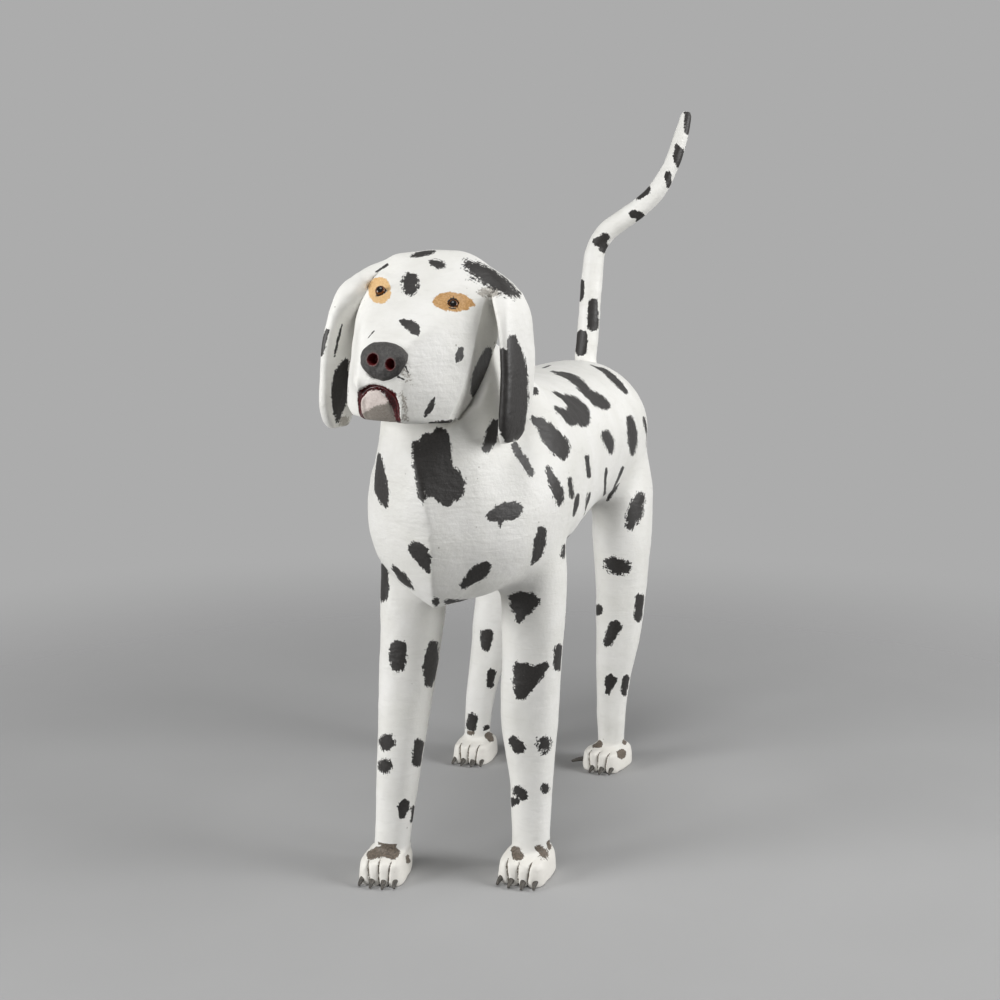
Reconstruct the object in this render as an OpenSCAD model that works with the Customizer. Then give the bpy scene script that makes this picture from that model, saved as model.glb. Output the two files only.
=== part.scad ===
// Carved wooden dog, a life-size folk-art Dalmatian standing on four legs.
// Millimetres. The dog looks along -Y, its own left is +X, and its claws and paws stand on Z = 0.

/* [Trunk] */
// Height of the back over the floor
back_z = 596; // [570:1:620]
// Half the width across the hips
hip_w = 111; // [100:1:130]
// Half the width across the ribs
rib_w = 118; // [100:1:130]
// Half the width of the neck under the head
neck_w = 61; // [54:1:74]
// Depth of the ridge down the breast
keel = 7; // [0:1:15]

/* [Head] */
// Turn of the head towards the dog's right, degrees
head_turn = 5; // [0:1:20]
// Tilt of the head, the dog's left side down, degrees
head_roll = 2.5; // [0:0.5:8]
// Diameter of a glass eye
eye_d = 12; // [9:0.5:16]
// Thickness of an ear
ear_t = 16; // [12:1:22]

/* [Legs and paws] */
// Thickness of the legs against the photograph
leg_scale = 1; // [0.9:0.01:1.1]
// Height of the joint between a paw and its leg
ankle_z = 40; // [34:1:50]
// Length of a claw outside its toe
claw_l = 17; // [10:1:24]
// Diameter of a claw at its root
claw_d = 8.4; // [6:0.2:10]

/* [Tail] */
// Diameter of the tail at the rump
tail_d = 33; // [26:1:40]

/* [Fixings] */
// Diameter of the dowel in the neck
neck_dowel_d = 28; // [20:1:36]
// Diameter of the dowels at the tops of the legs
leg_dowel_d = 22; // [16:1:26]
// Diameter of the dowels in the ankles
ankle_dowel_d = 16; // [10:1:20]
// Diameter of the ear nails
nail_d = 3; // [2:0.5:4]
// Room round a dowel in its hole, on the radius
slack = 0.15; // [0.1:0.05:0.3]

/* [Hidden] */
$fn = 96;
white = [0.92, 0.92, 0.9];
dark = [0.28, 0.27, 0.26];
oak = [0.72, 0.56, 0.36];

// Where the middle of the outline's box sits on the floor, in the numbers used below.
middle = [-1, 215, 0];
// Point between the eyes, and the plane where the head meets the neck: its front and its back.
brow = [-23, -71, 694];
throat = [-98, 566];
nape = [38, 692];
neck_x = -13;
// Feet: x and y of the ankle, half the thickness there, turn of the paw to the dog's left, the paw's
// width against a full one, and how far it is set to the dog's left.
front_left = [69, 60, 22.8, -3, 0.95, -2];
front_right = [-91.5, 12, 21.2, 5, 0.89, -5];
rear_left = [72, 475, 19, -12, 0.95, -2];
rear_right = [-129.5, 450, 18.8, 0, 0.91, 0];

// Smooth curve through four values, from the second to the third.
function spline(a, b, c, d, t) =
  0.5 * (2 * b + (c - a) * t + (2 * a - 5 * b + 4 * c - d) * t * t
  + (3 * b - a - 3 * c + d) * t * t * t);
function at(rows, i) = rows[max(0, min(len(rows) - 1, i))];
// Rows of numbers joined by smooth curves, n steps between rows.
function along(rows, n) = concat(
  [for (i = [0 : len(rows) - 2], k = [0 : n - 1])
    spline(at(rows, i - 1), rows[i], rows[i + 1], at(rows, i + 2), k / n)],
  [rows[len(rows) - 1]]);
// A closed smooth curve through points, n steps between points.
function around(p, n) = let (m = len(p))
  [for (i = [0 : m - 1], k = [0 : n - 1])
    spline(p[(i + m - 1) % m], p[i], p[(i + 1) % m], p[(i + 2) % m], k / n)];
// Square-shouldered cosine and sine: power 2 is round, higher powers are squarer.
function sq(v, power) = sign(v) * pow(abs(v), 2 / power);
function unit(v) = v / norm(v);

// A closed skin over rings of points, all rings the same length.
module skin(rings) {
  m = len(rings[0]);
  k = len(rings);
  ends = [for (r = [rings[0], rings[k - 1]]) [for (i = [0 : 2]) sum_of(r, i) / m]];
  sides = [for (j = [0 : k - 2], i = [0 : m - 1]) each [
    [j * m + i, (j + 1) * m + (i + 1) % m, j * m + (i + 1) % m],
    [j * m + i, (j + 1) * m + i, (j + 1) * m + (i + 1) % m]]];
  first = [for (i = [0 : m - 1]) [i, (i + 1) % m, k * m]];
  last = [for (i = [0 : m - 1]) [(k - 1) * m + (i + 1) % m, (k - 1) * m + i, k * m + 1]];
  polyhedron(concat([for (r = rings) each r], ends), concat(sides, first, last));
}
function sum_of(r, axis, i = 0) = i < len(r) ? r[i][axis] + sum_of(r, axis, i + 1) : 0;

// Trunk stations from rump to neck: underside y and z, topside y and z, half width, x of the
// middle, how much wider below than above, squareness, ridge.
trunk_rows = [
  [586, 492, 586, 520, 20, 4, 0, 2, 0],
  [577, 455, 577, 556, 60, 4, 0, 2, 0],
  [556, 417, 556, 587, 92, 4, 0, 2.05, 0],
  [510, 398, 510, back_z + 3, hip_w, 3, 0.03, 2.05, 0],
  [440, 394, 440, back_z + 3, hip_w + 1, 3, 0.03, 2.05, 0],
  [350, 392, 350, back_z, hip_w - 2, 3, 0.03, 2.1, 0],
  [250, 384, 250, back_z - 2, hip_w + 1, 2, 0.03, 2.15, 0],
  [150, 371, 152, back_z + 1, rib_w - 1, 1, 0.04, 2.2, 0],
  [60, 360, 92, back_z + 12, rib_w, 1, 0.06, 2.2, 0],
  [-15, 357, 68, back_z + 30, rib_w - 5, 1, 0.1, 2.2, keel * 0.4],
  [-66, 372, 56, back_z + 48, rib_w - 20, -3, 0.14, 2.2, keel],
  [-97, 415, 49, back_z + 64, rib_w - 41, -9, 0.15, 2.1, keel],
  [-108, 475, 44, back_z + 78, neck_w + 6, -12, 0.1, 2.1, keel],
  [-106, 530, 41, back_z + 88, neck_w, -13, 0.05, 2.1, keel * 0.4],
  [throat.x, throat.y, nape.x, nape.y, neck_w, neck_x, 0, 2.1, 0]];

module trunk_skin() {
  skin([for (r = along(trunk_rows, 2))
    let (low = [r[0], r[1]], high = [r[2], r[3]], mid = (low + high) / 2, half = (high - low) / 2)
    [for (i = [0 : 35])
      let (v = sq(sin(i * 10), r[7]), h = sq(cos(i * 10), r[7]))
      let (out = r[8] * pow(max(0, -sin(i * 10)), 14), yz = mid + half * v - unit(half) * out)
      [r[5] + r[4] * h * (1 - r[6] * v), yz[0], yz[1]]]]);
}

// Half outlines of the head at heights from the chin to the crown: how far forward of the eyes and
// how far out to the side, from the middle of the face round to the middle of the back.
head_rows = [
  [-130, [[75, 0], [73, 17], [66, 28], [36, 59], [0, 66], [-50, 66], [-92, 48], [-104, 0]]],
  [-124, [[80, 0], [78, 19], [71, 30], [36, 61], [0, 69], [-50, 70], [-96, 50], [-108, 0]]],
  [-95, [[81, 0], [79, 21], [72, 33], [28, 66], [-4, 72], [-50, 73], [-97, 52], [-110, 0]]],
  [-70, [[79, 0], [77, 21], [69, 34], [19, 69], [-10, 74], [-50, 75], [-97, 54], [-110, 0]]],
  [-50, [[75, 0], [72, 21], [61, 35], [10, 71], [-14, 75], [-52, 76], [-97, 55], [-110, 0]]],
  [-25, [[45, 0], [42, 24], [32, 46], [-5, 72], [-22, 76], [-55, 77], [-97, 56], [-110, 0]]],
  [0, [[12, 0], [9, 24], [1, 45], [-17, 69], [-34, 76], [-60, 76], [-96, 54], [-108, 0]]],
  [22, [[-20, 0], [-22, 22], [-29, 42], [-42, 60], [-56, 70], [-72, 69], [-95, 46], [-103, 0]]],
  [38, [[-43, 0], [-45, 19], [-50, 36], [-58, 49], [-67, 54], [-79, 49], [-92, 31], [-98, 0]]],
  [47, [[-57, 0], [-58, 13], [-61, 25], [-66, 32], [-71, 33], [-77, 29], [-84, 18], [-87, 0]]],
  [50, [[-65, 0], [-65, 6], [-67, 11], [-69, 14], [-72, 14], [-75, 12], [-77, 8], [-78, 0]]]];

module head_skin() {
  rows = [for (r = head_rows) [for (p = r[1]) [p.x, p.y, r[0]]]];
  loops = [for (h = along(rows, 2)) concat(h, [for (i = [6 : -1 : 1]) [h[i].x, -h[i].y, h[i].z]])];
  skin([for (l = loops) [for (p = around(l, 3)) [p.y, -p.x, p.z]]]);
}
module on_head() translate(brow) rotate([0, head_roll, -head_turn]) children();

// Everything behind and below the joint between the head and the neck.
module below_joint() {
  lean = atan2(nape.y - throat.y, nape.x - throat.x);
  translate([neck_x, throat.x, throat.y]) rotate([lean, 0, 0])
    translate([-200, -200, -300]) cube([400, 600, 300]);
}
module in_neck(from, to) {
  lean = atan2(nape.y - throat.y, nape.x - throat.x);
  mid = (throat + nape) / 2;
  translate([neck_x, mid.x, mid.y]) rotate([lean, 0, 0]) translate([0, 0, from])
    children();
}

// Ear stations from the root down: height, outer face, thickness, front edge, back edge.
ear_rows = [
  [40, 53, 4, -52, -66],
  [33, 66, ear_t - 3, -45, -71],
  [18, 87.5, ear_t + 4, -31, -76],
  [0, 100.5, ear_t + 7, -12, -78],
  [-18, 108, ear_t + 4, 0, -78],
  [-39, 112, ear_t + 1, 5, -77],
  [-63, 115, ear_t, 7, -75],
  [-94, 116.5, ear_t, 8, -71],
  [-122, 116, ear_t, 8, -63],
  [-142, 113.5, ear_t - 1, 3, -54],
  [-152, 109, ear_t - 6, -6, -43]];
module ear_skin(side) {
  skin([for (r = along(ear_rows, 2))
    let (out = r[1] - r[2] / 2, mid = (r[3] + r[4]) / 2, wide = (r[3] - r[4]) / 2)
    [for (i = [0 : 27])
      let (a = i * 360 / 28 * side)
      [side * (out + r[2] / 2 * sq(cos(a), 3.2)), -(mid + wide * sq(sin(a), 3.2)), r[0]]]]);
}
nail_at = [[-36, 4], [-58, 4]];
module in_ears(side, from, to, d) {
  for (p = nail_at) translate([side * from, -p.x, p.y]) rotate([0, side * 90, 0])
    cylinder(d = d, h = to - from);
}
module ear(side) on_head() difference() {
  ear_skin(side);
  in_ears(side, 40, 120, nail_d + 2 * slack);
  in_ears(side, 84, 120, nail_d * 2 + 2 * slack);
}
module ear_nails(side) on_head() {
  in_ears(side, 46, 86, nail_d);
  in_ears(side, 84, 86, nail_d * 2);
}

// Glass eyes: side, forward, height, and the way each looks.
eye_left = [45.5, 0, -6.5];
eye_right = [-43, 1.5, 3];
module at_eye(p, side) translate([p.x, -p.y, p.z])
  rotate([0, 0, side * 24]) rotate([58, 0, 0]) children();
module eye(p, side) on_head() at_eye(p, side) {
  translate([0, 0, -eye_d / 2]) cylinder(d = eye_d, h = eye_d / 2);
  sphere(d = eye_d);
}
module eye_hole(p, side) at_eye(p, side) translate([0, 0, -eye_d / 2])
  cylinder(d = eye_d + 2 * slack, h = 30);

// Nose stations from its root out: forward, height, half width, half height.
nose_rows = [
  [48, -67, 18, 14], [58, -67, 23, 18], [68, -68, 25, 20.5], [77, -68, 24, 19.5],
  [84, -69, 18.5, 14.5], [87, -70, 9, 6]];
module nose_skin() skin([for (r = along(nose_rows, 2)) [for (i = [0 : 23])
  [r[2] * sq(cos(i * 15), 2.3), -r[0], r[1] + r[3] * sq(sin(i * 15), 2.3)]]]);

// The mouth, an arched groove down the front of the muzzle: half width inside, width of the groove.
mouth_w = 17;
mouth_gap = 4;
function arch(r) = concat([[r, -140]], [for (a = [0 : 15 : 180]) [r * cos(a), r * sin(a) - 115]],
  [[-r, -140]]);
module mouth() translate([0, -73, 0]) rotate([90, 0, 0]) linear_extrude(height = 20)
  polygon(concat(arch(mouth_w + mouth_gap),
  [for (i = [len(arch(mouth_w)) - 1 : -1 : 0]) arch(mouth_w)[i]]));

module head() color(white) difference() {
  on_head() difference() {
    head_skin();
    ear_skin(1);
    ear_skin(-1);
    nose_skin();
    mouth();
    eye_hole(eye_left, 1);
    eye_hole(eye_right, -1);
    in_ears(1, 46, 100, nail_d + 2 * slack);
    in_ears(-1, 46, 100, nail_d + 2 * slack);
  }
  below_joint();
  in_neck(-1) cylinder(d = neck_dowel_d + 2 * slack, h = 62);
}
module nose() color(dark) on_head() difference() {
  nose_skin();
  for (s = [-1, 1]) translate([s * 10.5, -86, -64]) rotate([80, 0, s * 12])
    translate([0, 0, -14]) cylinder(d = 9, h = 30);
}

// Leg stations from the ankle up: x, y, z, half width, half depth.
front_left_rows = [
  [69, 60, ankle_z, 22.4, 23], [69, 61, 75, 23.4, 24.5], [69.3, 62, 118, 25.6, 27.5],
  [67.5, 62, 150, 28.8, 31], [66.3, 62, 192, 33.4, 35.5], [70, 60, 278, 35.6, 39.5], [73, 56, 339, 37.5, 44], [72, 52, 400, 39, 48], [66, 50, 450, 34, 44],
  [60, 50, 475, 22, 30]];
front_right_rows = [
  [-91.5, 12, ankle_z, 20.8, 21.5], [-89.5, 13, 67, 22.2, 23.5], [-84.5, 15, 115, 25, 27.5],
  [-79.5, 17, 168, 28.2, 32], [-71, 22, 268, 34, 38.5], [-65.5, 27, 345, 38, 44], [-66, 33, 400, 40, 47],
  [-64, 38, 450, 35, 43], [-60, 40, 475, 22, 30]];
rear_left_rows = [
  [72, 475, ankle_z, 18.5, 21], [73.2, 476, 115, 23, 26.5], [79.7, 478, 191, 31, 34.5],
  [82.7, 481, 252, 34.6, 43.5], [83.2, 485, 320, 39.5, 55], [82, 488, 380, 43, 63], [78, 490, 430, 44, 66],
  [70, 492, 480, 38, 58], [62, 492, 510, 22, 40]];
rear_right_rows = [
  [-129.5, 450, ankle_z, 18.3, 21], [-123, 453, 105, 21.8, 26], [-110.5, 460, 167, 29, 33.5],
  [-99, 468, 244, 35, 43], [-87, 477, 320, 40, 55], [-79, 484, 380, 43, 63], [-74, 488, 430, 44, 66],
  [-66, 492, 480, 38, 58], [-58, 492, 510, 22, 40]];
module leg_skin(rows) skin([for (r = along(rows, 2)) [for (i = [0 : 23])
  [r[0] + leg_scale * r[3] * sq(cos(i * 15), 2.2), r[1] + leg_scale * r[4] * sq(sin(i * 15), 2.2),
  r[2]]]]);
// Dowel between a leg and the trunk: x, y, and the heights of its ends.
function leg_peg(rows) = [rows[5].x, rows[5].y, 300, 450];
module upright(p, d, from, to) translate([p.x, p.y, from]) cylinder(d = d, h = to - from);
module leg(rows, foot) color(white) difference() {
  leg_skin(rows);
  trunk_skin();
  upright(leg_peg(rows), leg_dowel_d + 2 * slack, leg_peg(rows)[2], 600);
  upright(foot, ankle_dowel_d + 2 * slack, ankle_z - 10, 78);
}
module leg_dowel(rows) color(oak)
  upright(leg_peg(rows), leg_dowel_d, leg_peg(rows)[2], leg_peg(rows)[3]);
module ankle_dowel(foot) color(oak) upright(foot, ankle_dowel_d, 10, 76);

// Paw stations from the sole up: height, half width, front and back of the ankle's middle, and how
// far the middle is set to the dog's left.
function paw_rows(r, w, s) = [
  [0, 28 * w, -37, 24, s], [4, 31 * w, -41.5, 28, s], [14, 32 * w, -43, 30, s],
  [24, 31 * w, -41.5, 30, s], [30, 29.5 * w, -36.5, 29, s],
  [35, (29 * w + r) / 2, -r - 4.5, (28 + r) / 2, s / 2], [ankle_z, r, -r - 0.5, r + 0.5, 0]];
module paw_skin(r, w, s) skin([for (p = along(paw_rows(r, w, s), 2)) let (mid = (p[2] + p[3]) / 2)
  [for (i = [0 : 27]) let (a = i * 360 / 28)
  [p[4] + p[1] * sq(cos(a), 3.1), mid + (p[3] - p[2]) / 2 * sq(sin(a), 3.1), p[0]]]]);
module at_foot(foot) translate([foot[0], foot[1], 0]) rotate([0, 0, foot[3]]) children();
// Claws: x, y and z of the root in the paw, turn to the dog's left, droop.
claws = [[-22, -33, 9.5, -14, 10], [-7.5, -41, 9.5, -4, 12], [7.5, -41, 9.5, 4, 12],
  [22, -33, 9.5, 14, 10]];
side_claw = [-29, -25, 12, -62, 4];
function claw_at(foot, i) = foot == rear_left && i == 0 ? side_claw : claws[i];
module at_claw(foot, i) let (c = claw_at(foot, i)) at_foot(foot)
  translate([c[0] * foot[4] + foot[5], c[1], c[2]]) rotate([0, 0, c[3]]) rotate([90 + c[4], 0, 0]) children();
module claw(foot, i) color(dark) at_claw(foot, i) {
  translate([0, 0, -11]) cylinder(d = claw_d, h = 12);
  translate([0, 0, 1]) cylinder(d1 = claw_d, d2 = 1.6, h = claw_l);
}
module paw(foot) color(white) difference() {
  at_foot(foot) difference() {
    paw_skin(foot[2], foot[4], foot[5]);
    for (x = [-15, 0, 15]) translate([x * foot[4] + foot[5] - 0.7, -50, 6]) rotate([8, 0, 0]) cube([1.4, 13, 24]);
  }
  for (i = [0 : 3]) at_claw(foot, i) translate([0, 0, -11])
    cylinder(d = claw_d + 2 * slack, h = 40);
  upright(foot, ankle_dowel_d + 2 * slack, 10, 90);
}

// Middle of the tail from the rump to the tip, and its thickness against that at the rump.
tail_rows = [
  [11, 545, 604, 0.98], [13.5, 546, 634, 0.98], [16, 548, 678, 0.97], [18.5, 551, 726, 0.94],
  [22, 553, 757, 0.92], [35, 556, 781, 0.9], [58, 560, 800, 0.88], [86, 565, 820, 0.85],
  [108, 570, 842, 0.8], [124.5, 574, 870, 0.73], [136, 577, 901, 0.66], [143.5, 579, 929, 0.6],
  [148, 580, 948, 0.5], [149.5, 580, 955, 0.3]];
module tail_skin() {
  rows = along(tail_rows, 2);
  skin([for (j = [0 : len(rows) - 1])
    let (r = rows[j])
    let (d = j == 0 ? [0, 0, 1] : unit([for (i = [0 : 2]) at(rows, j + 1)[i] - rows[j - 1][i]]))
    let (a = unit(cross([0, 1, 0], d)), b = cross(d, a))
    [for (i = [0 : 17]) [r[0], r[1], r[2]] + tail_d / 2 * r[3] * (a * cos(i * 20) + b * sin(i * 20))]]);
}
tail_foot = [tail_rows[0].x, tail_rows[0].y];
module tail() color(white) {
  tail_skin();
  upright(tail_foot, tail_d, 540, 606);
}

module trunk() color(white) difference() {
  trunk_skin();
  upright(tail_foot, tail_d + 2 * slack, 540, 640);
  in_neck(-62) cylinder(d = neck_dowel_d + 2 * slack, h = 70);
  for (rows = [front_left_rows, front_right_rows, rear_left_rows, rear_right_rows])
    upright(leg_peg(rows), leg_dowel_d + 2 * slack, 320, leg_peg(rows)[3] + 1);
}
module neck_dowel() color(oak) in_neck(-62) cylinder(d = neck_dowel_d, h = 122);

translate(-middle) {
  trunk();
  head();
  color(white) ear(1);  // left_ear
  color(white) ear(-1);  // right_ear
  color(dark) eye(eye_left, 1);  // left_eye
  color(dark) eye(eye_right, -1);  // right_eye
  nose();
  leg(front_left_rows, front_left);  // front_left_leg
  leg(front_right_rows, front_right);  // front_right_leg
  leg(rear_left_rows, rear_left);  // rear_left_leg
  leg(rear_right_rows, rear_right);  // rear_right_leg
  paw(front_left);  // front_left_paw
  paw(front_right);  // front_right_paw
  paw(rear_left);  // rear_left_paw
  paw(rear_right);  // rear_right_paw
  claw(front_left, 0);  // front_left_claw_1
  claw(front_left, 1);  // front_left_claw_2
  claw(front_left, 2);  // front_left_claw_3
  claw(front_left, 3);  // front_left_claw_4
  claw(front_right, 0);  // front_right_claw_1
  claw(front_right, 1);  // front_right_claw_2
  claw(front_right, 2);  // front_right_claw_3
  claw(front_right, 3);  // front_right_claw_4
  claw(rear_left, 0);  // rear_left_claw_1
  claw(rear_left, 1);  // rear_left_claw_2
  claw(rear_left, 2);  // rear_left_claw_3
  claw(rear_left, 3);  // rear_left_claw_4
  claw(rear_right, 0);  // rear_right_claw_1
  claw(rear_right, 1);  // rear_right_claw_2
  claw(rear_right, 2);  // rear_right_claw_3
  claw(rear_right, 3);  // rear_right_claw_4
  tail();
  neck_dowel();
  leg_dowel(front_left_rows);  // front_left_dowel
  leg_dowel(front_right_rows);  // front_right_dowel
  leg_dowel(rear_left_rows);  // rear_left_dowel
  leg_dowel(rear_right_rows);  // rear_right_dowel
  ankle_dowel(front_left);  // front_left_ankle_dowel
  ankle_dowel(front_right);  // front_right_ankle_dowel
  ankle_dowel(rear_left);  // rear_left_ankle_dowel
  ankle_dowel(rear_right);  // rear_right_ankle_dowel
  color(dark) ear_nails(1);  // left_ear_nails
  color(dark) ear_nails(-1);  // right_ear_nails
}
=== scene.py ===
# %% [markdown]
# # A carved wooden dog
# A life-size Dalmatian cut from blocks of wood by hand and painted with white house paint. Black
# dabs were brushed on afterwards, the eyes are glass, and the claws are whittled pegs.
# The solid model comes first: it is the frame that every visible piece has to fit.

import math

import bmesh
import bpy
import numpy as np
from mathutils import Matrix, Vector, noise
from mathutils.bvhtree import BVHTree


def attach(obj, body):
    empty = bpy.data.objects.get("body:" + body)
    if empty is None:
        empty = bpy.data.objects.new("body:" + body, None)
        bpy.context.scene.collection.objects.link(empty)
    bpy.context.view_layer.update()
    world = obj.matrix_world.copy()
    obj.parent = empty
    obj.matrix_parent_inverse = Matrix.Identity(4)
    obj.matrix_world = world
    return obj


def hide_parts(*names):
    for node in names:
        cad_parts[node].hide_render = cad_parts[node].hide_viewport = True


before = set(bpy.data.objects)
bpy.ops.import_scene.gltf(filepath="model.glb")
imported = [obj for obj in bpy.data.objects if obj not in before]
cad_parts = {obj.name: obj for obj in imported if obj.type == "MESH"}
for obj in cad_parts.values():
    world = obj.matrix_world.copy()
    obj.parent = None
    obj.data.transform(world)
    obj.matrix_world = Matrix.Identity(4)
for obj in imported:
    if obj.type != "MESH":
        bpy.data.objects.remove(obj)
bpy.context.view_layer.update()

# %% [markdown]
# ## Camera
# The photograph was taken from a little to the dog's left, at about the height of its eyes, and the
# camera looked slightly down. The position was worked out from where the four feet stand and from
# the line of the breast. A ray through any point of the photograph can then be sent into the scene,
# which is how the dabs of paint find their places later.

# %% Camera
MM = 0.001
PHOTO = 1000                        # the photograph's frame, pixels a side
FOCAL = 1400                        # focal length in the same pixels
CAMERA_AT = Vector((0.5191, -1.7031, 0.700))
EYE_POINT = np.array(CAMERA_AT) / MM
CAMERA_TURN = math.radians(17.5)
CAMERA_DROP = math.atan(210 / FOCAL)


def into_scene(name, data):
    """New object with this mesh, lamp or camera, linked to the scene."""
    made = bpy.data.objects.new(name, data)
    bpy.context.scene.collection.objects.link(made)
    return made


camera_data = bpy.data.cameras.new("photo_camera")
camera_data.sensor_width = 36
camera_data.lens = 36 * FOCAL / PHOTO
camera = into_scene("photo_camera", camera_data)
camera.location = CAMERA_AT
camera.rotation_euler = (math.pi / 2 - CAMERA_DROP, 0, CAMERA_TURN)
bpy.context.scene.camera = camera


def photo_ray(x, y):
    """Direction of the ray through a point of the photograph."""
    seen = Vector(((x - PHOTO / 2) / FOCAL, -(y - PHOTO / 2) / FOCAL, -1))
    return (camera.rotation_euler.to_matrix() @ seen).normalized()


def in_photo(points):
    """Where points of the dog's frame appear in the photograph, and how far off they are, in mm."""
    seen = (points - EYE_POINT) @ np.array(camera.rotation_euler.to_matrix())
    far = -seen[:, 2]
    across, down = FOCAL * seen[:, 0] / far, FOCAL * seen[:, 1] / far
    return np.column_stack([PHOTO / 2 + across, PHOTO / 2 - down]), far


print("lens", round(camera_data.lens, 1), "mm, centre ray", photo_ray(500, 500)[:])

# %% [markdown]
# ## Stations
# A carver draws sections on the block and works down to them. The same idea gives every big form
# here: a few sections, called stations, joined by a smooth curve through all of them. The numbers
# are millimetres. They start from the solid model's, and some were changed a little after closer
# looks at the photograph. More steps between stations make these forms smoother than the solids.

# %% Curves through stations
MIDDLE = np.array([-1, 215, 0])     # where the solid model's origin sits in these numbers


def between(a, b, c, d, t):
    """Smooth curve from b to c that knows its neighbours a and d."""
    return 0.5 * (2 * b + (c - a) * t + (2 * a - 5 * b + 4 * c - d) * t ** 2
                  + (3 * b - a - 3 * c + d) * t ** 3)


def through(rows, steps):
    """Rows of numbers joined by a smooth open curve."""
    rows = np.asarray(rows, float)
    last = len(rows) - 1
    made = [between(rows[max(i - 1, 0)], rows[i], rows[i + 1], rows[min(i + 2, last)], k / steps)
            for i in range(last) for k in range(steps)]
    return np.array(made + [rows[last]])


def around(points, steps):
    """Points joined by a smooth closed curve."""
    p = np.asarray(points, float)
    n = len(p)
    return np.array([between(p[i - 1], p[i], p[(i + 1) % n], p[(i + 2) % n], k / steps)
                     for i in range(n) for k in range(steps)])


def squarish(value, power):
    """Cosine or sine bent towards a square: power 2 is round."""
    return np.sign(value) * np.abs(value) ** (2 / power)


def turns(count):
    return np.arange(count) * 2 * math.pi / count


def skin(rings):
    """Closed skin over rings of points: its points and its faces, facing outwards."""
    rings = np.asarray(rings, float)
    count, m = rings.shape[:2]
    points = np.vstack([rings.reshape(-1, 3), rings[0].mean(0), rings[-1].mean(0)])
    faces = []
    for j in range(count - 1):
        for i in range(m):
            k = (i + 1) % m
            faces.append((j * m + i, j * m + k, (j + 1) * m + k, (j + 1) * m + i))
    faces += [((i + 1) % m, i, count * m) for i in range(m)]
    top = (count - 1) * m
    faces += [(top + i, top + (i + 1) % m, count * m + 1) for i in range(m)]
    if signed_volume(points, faces) < 0:
        faces = [f[::-1] for f in faces]
    return points, faces


def signed_volume(points, faces):
    """Six times the volume, below zero where the faces look inwards."""
    return sum(np.dot(points[f[0]], np.cross(points[f[i]], points[f[i + 1]]))
               for f in faces for i in range(1, len(f) - 1))


# %% [markdown]
# ## Trunk and legs
# The trunk runs from the rump to the slanting joint under the head. Each of its stations gives the
# underside, the top, the width and the ridge that is left down the breast. A leg is a post whose
# stations are ovals. Both are drawn whole here, one inside the other, and joined in a later step.

# %% Trunk stations
# underside y z, topside y z, half width, x of the middle, wider below, squareness, ridge
TRUNK = [
    [586, 492, 586, 520, 20, 4, 0, 2, 0],
    [577, 455, 577, 556, 60, 4, 0, 2, 0],
    [556, 417, 556, 587, 92, 4, 0, 2.05, 0],
    [510, 398, 510, 599, 111, 3, 0.03, 2.05, 0],
    [440, 394, 440, 599, 112, 3, 0.03, 2.05, 0],
    [350, 392, 350, 596, 109, 3, 0.03, 2.1, 0],
    [250, 384, 250, 594, 112, 2, 0.03, 2.15, 0],
    [150, 371, 152, 597, 117, 1, 0.04, 2.2, 0],
    [60, 360, 92, 608, 118, 1, 0.06, 2.2, 0],
    [-15, 357, 68, 626, 113, 1, 0.1, 2.2, 2.8],
    [-66, 372, 56, 644, 98, -3, 0.14, 2.2, 7],
    [-97, 415, 49, 660, 77, -9, 0.15, 2.1, 7],
    [-108, 475, 44, 674, 67, -12, 0.1, 2.1, 7],
    [-106, 530, 41, 684, 61, -13, 0.05, 2.1, 2.8],
    [-98, 566, 38, 692, 61, -13, 0, 2.1, 0]]


def trunk_ring(r, count=132):
    a = turns(count)
    up, out = squarish(np.sin(a), r[7]), squarish(np.cos(a), r[7])
    low, high = r[0:2], r[2:4]
    half = (high - low) / 2
    ridge = r[8] * np.maximum(0, -np.sin(a)) ** 14
    yz = (low + high) / 2 + np.outer(up, half) - np.outer(ridge, half / np.linalg.norm(half))
    return np.column_stack([r[5] + r[4] * out * (1 - r[6] * up), yz]) - MIDDLE


forms = {"trunk": skin([trunk_ring(r) for r in through(TRUNK, 9)])}

# %% Leg stations
# x, y, z, half width, half depth, from the ankle up
LEGS = {
    "front_left": [
        [69, 60, 40, 22.4, 23], [69, 61, 75, 23.4, 24.5], [69.3, 62, 118, 25.6, 27.5],
        [67.5, 62, 150, 28.8, 31], [66.3, 62, 192, 33.4, 35.5], [70, 60, 278, 35.6, 39.5],
        [73, 56, 339, 37.5, 44], [72, 52, 400, 39, 48], [66, 50, 450, 34, 44],
        [60, 50, 475, 22, 30]],
    "front_right": [
        [-91.5, 12, 40, 20.8, 21.5], [-89.5, 13, 67, 22.2, 23.5], [-84.5, 15, 115, 25, 27.5],
        [-79.5, 17, 168, 28.2, 32], [-71, 22, 268, 34, 38.5], [-65.5, 27, 345, 38, 44],
        [-66, 33, 400, 40, 47], [-64, 38, 450, 35, 43], [-60, 40, 475, 22, 30]],
    "rear_left": [
        [72, 475, 40, 18.5, 21], [73.2, 476, 115, 23, 26.5], [79.7, 478, 191, 31, 34.5],
        [82.7, 481, 252, 34.6, 43.5], [83.2, 485, 320, 39.5, 55], [82, 488, 380, 43, 63],
        [78, 490, 430, 44, 66], [70, 492, 480, 38, 58], [62, 492, 510, 22, 40]],
    "rear_right": [
        [-129.5, 450, 40, 18.3, 21], [-123, 453, 105, 21.8, 26], [-110.5, 460, 167, 29, 33.5],
        [-99, 468, 244, 35, 43], [-87, 477, 320, 40, 55], [-79, 484, 380, 43, 63],
        [-74, 488, 430, 44, 66], [-66, 492, 480, 38, 58], [-58, 492, 510, 22, 40]]}


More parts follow.
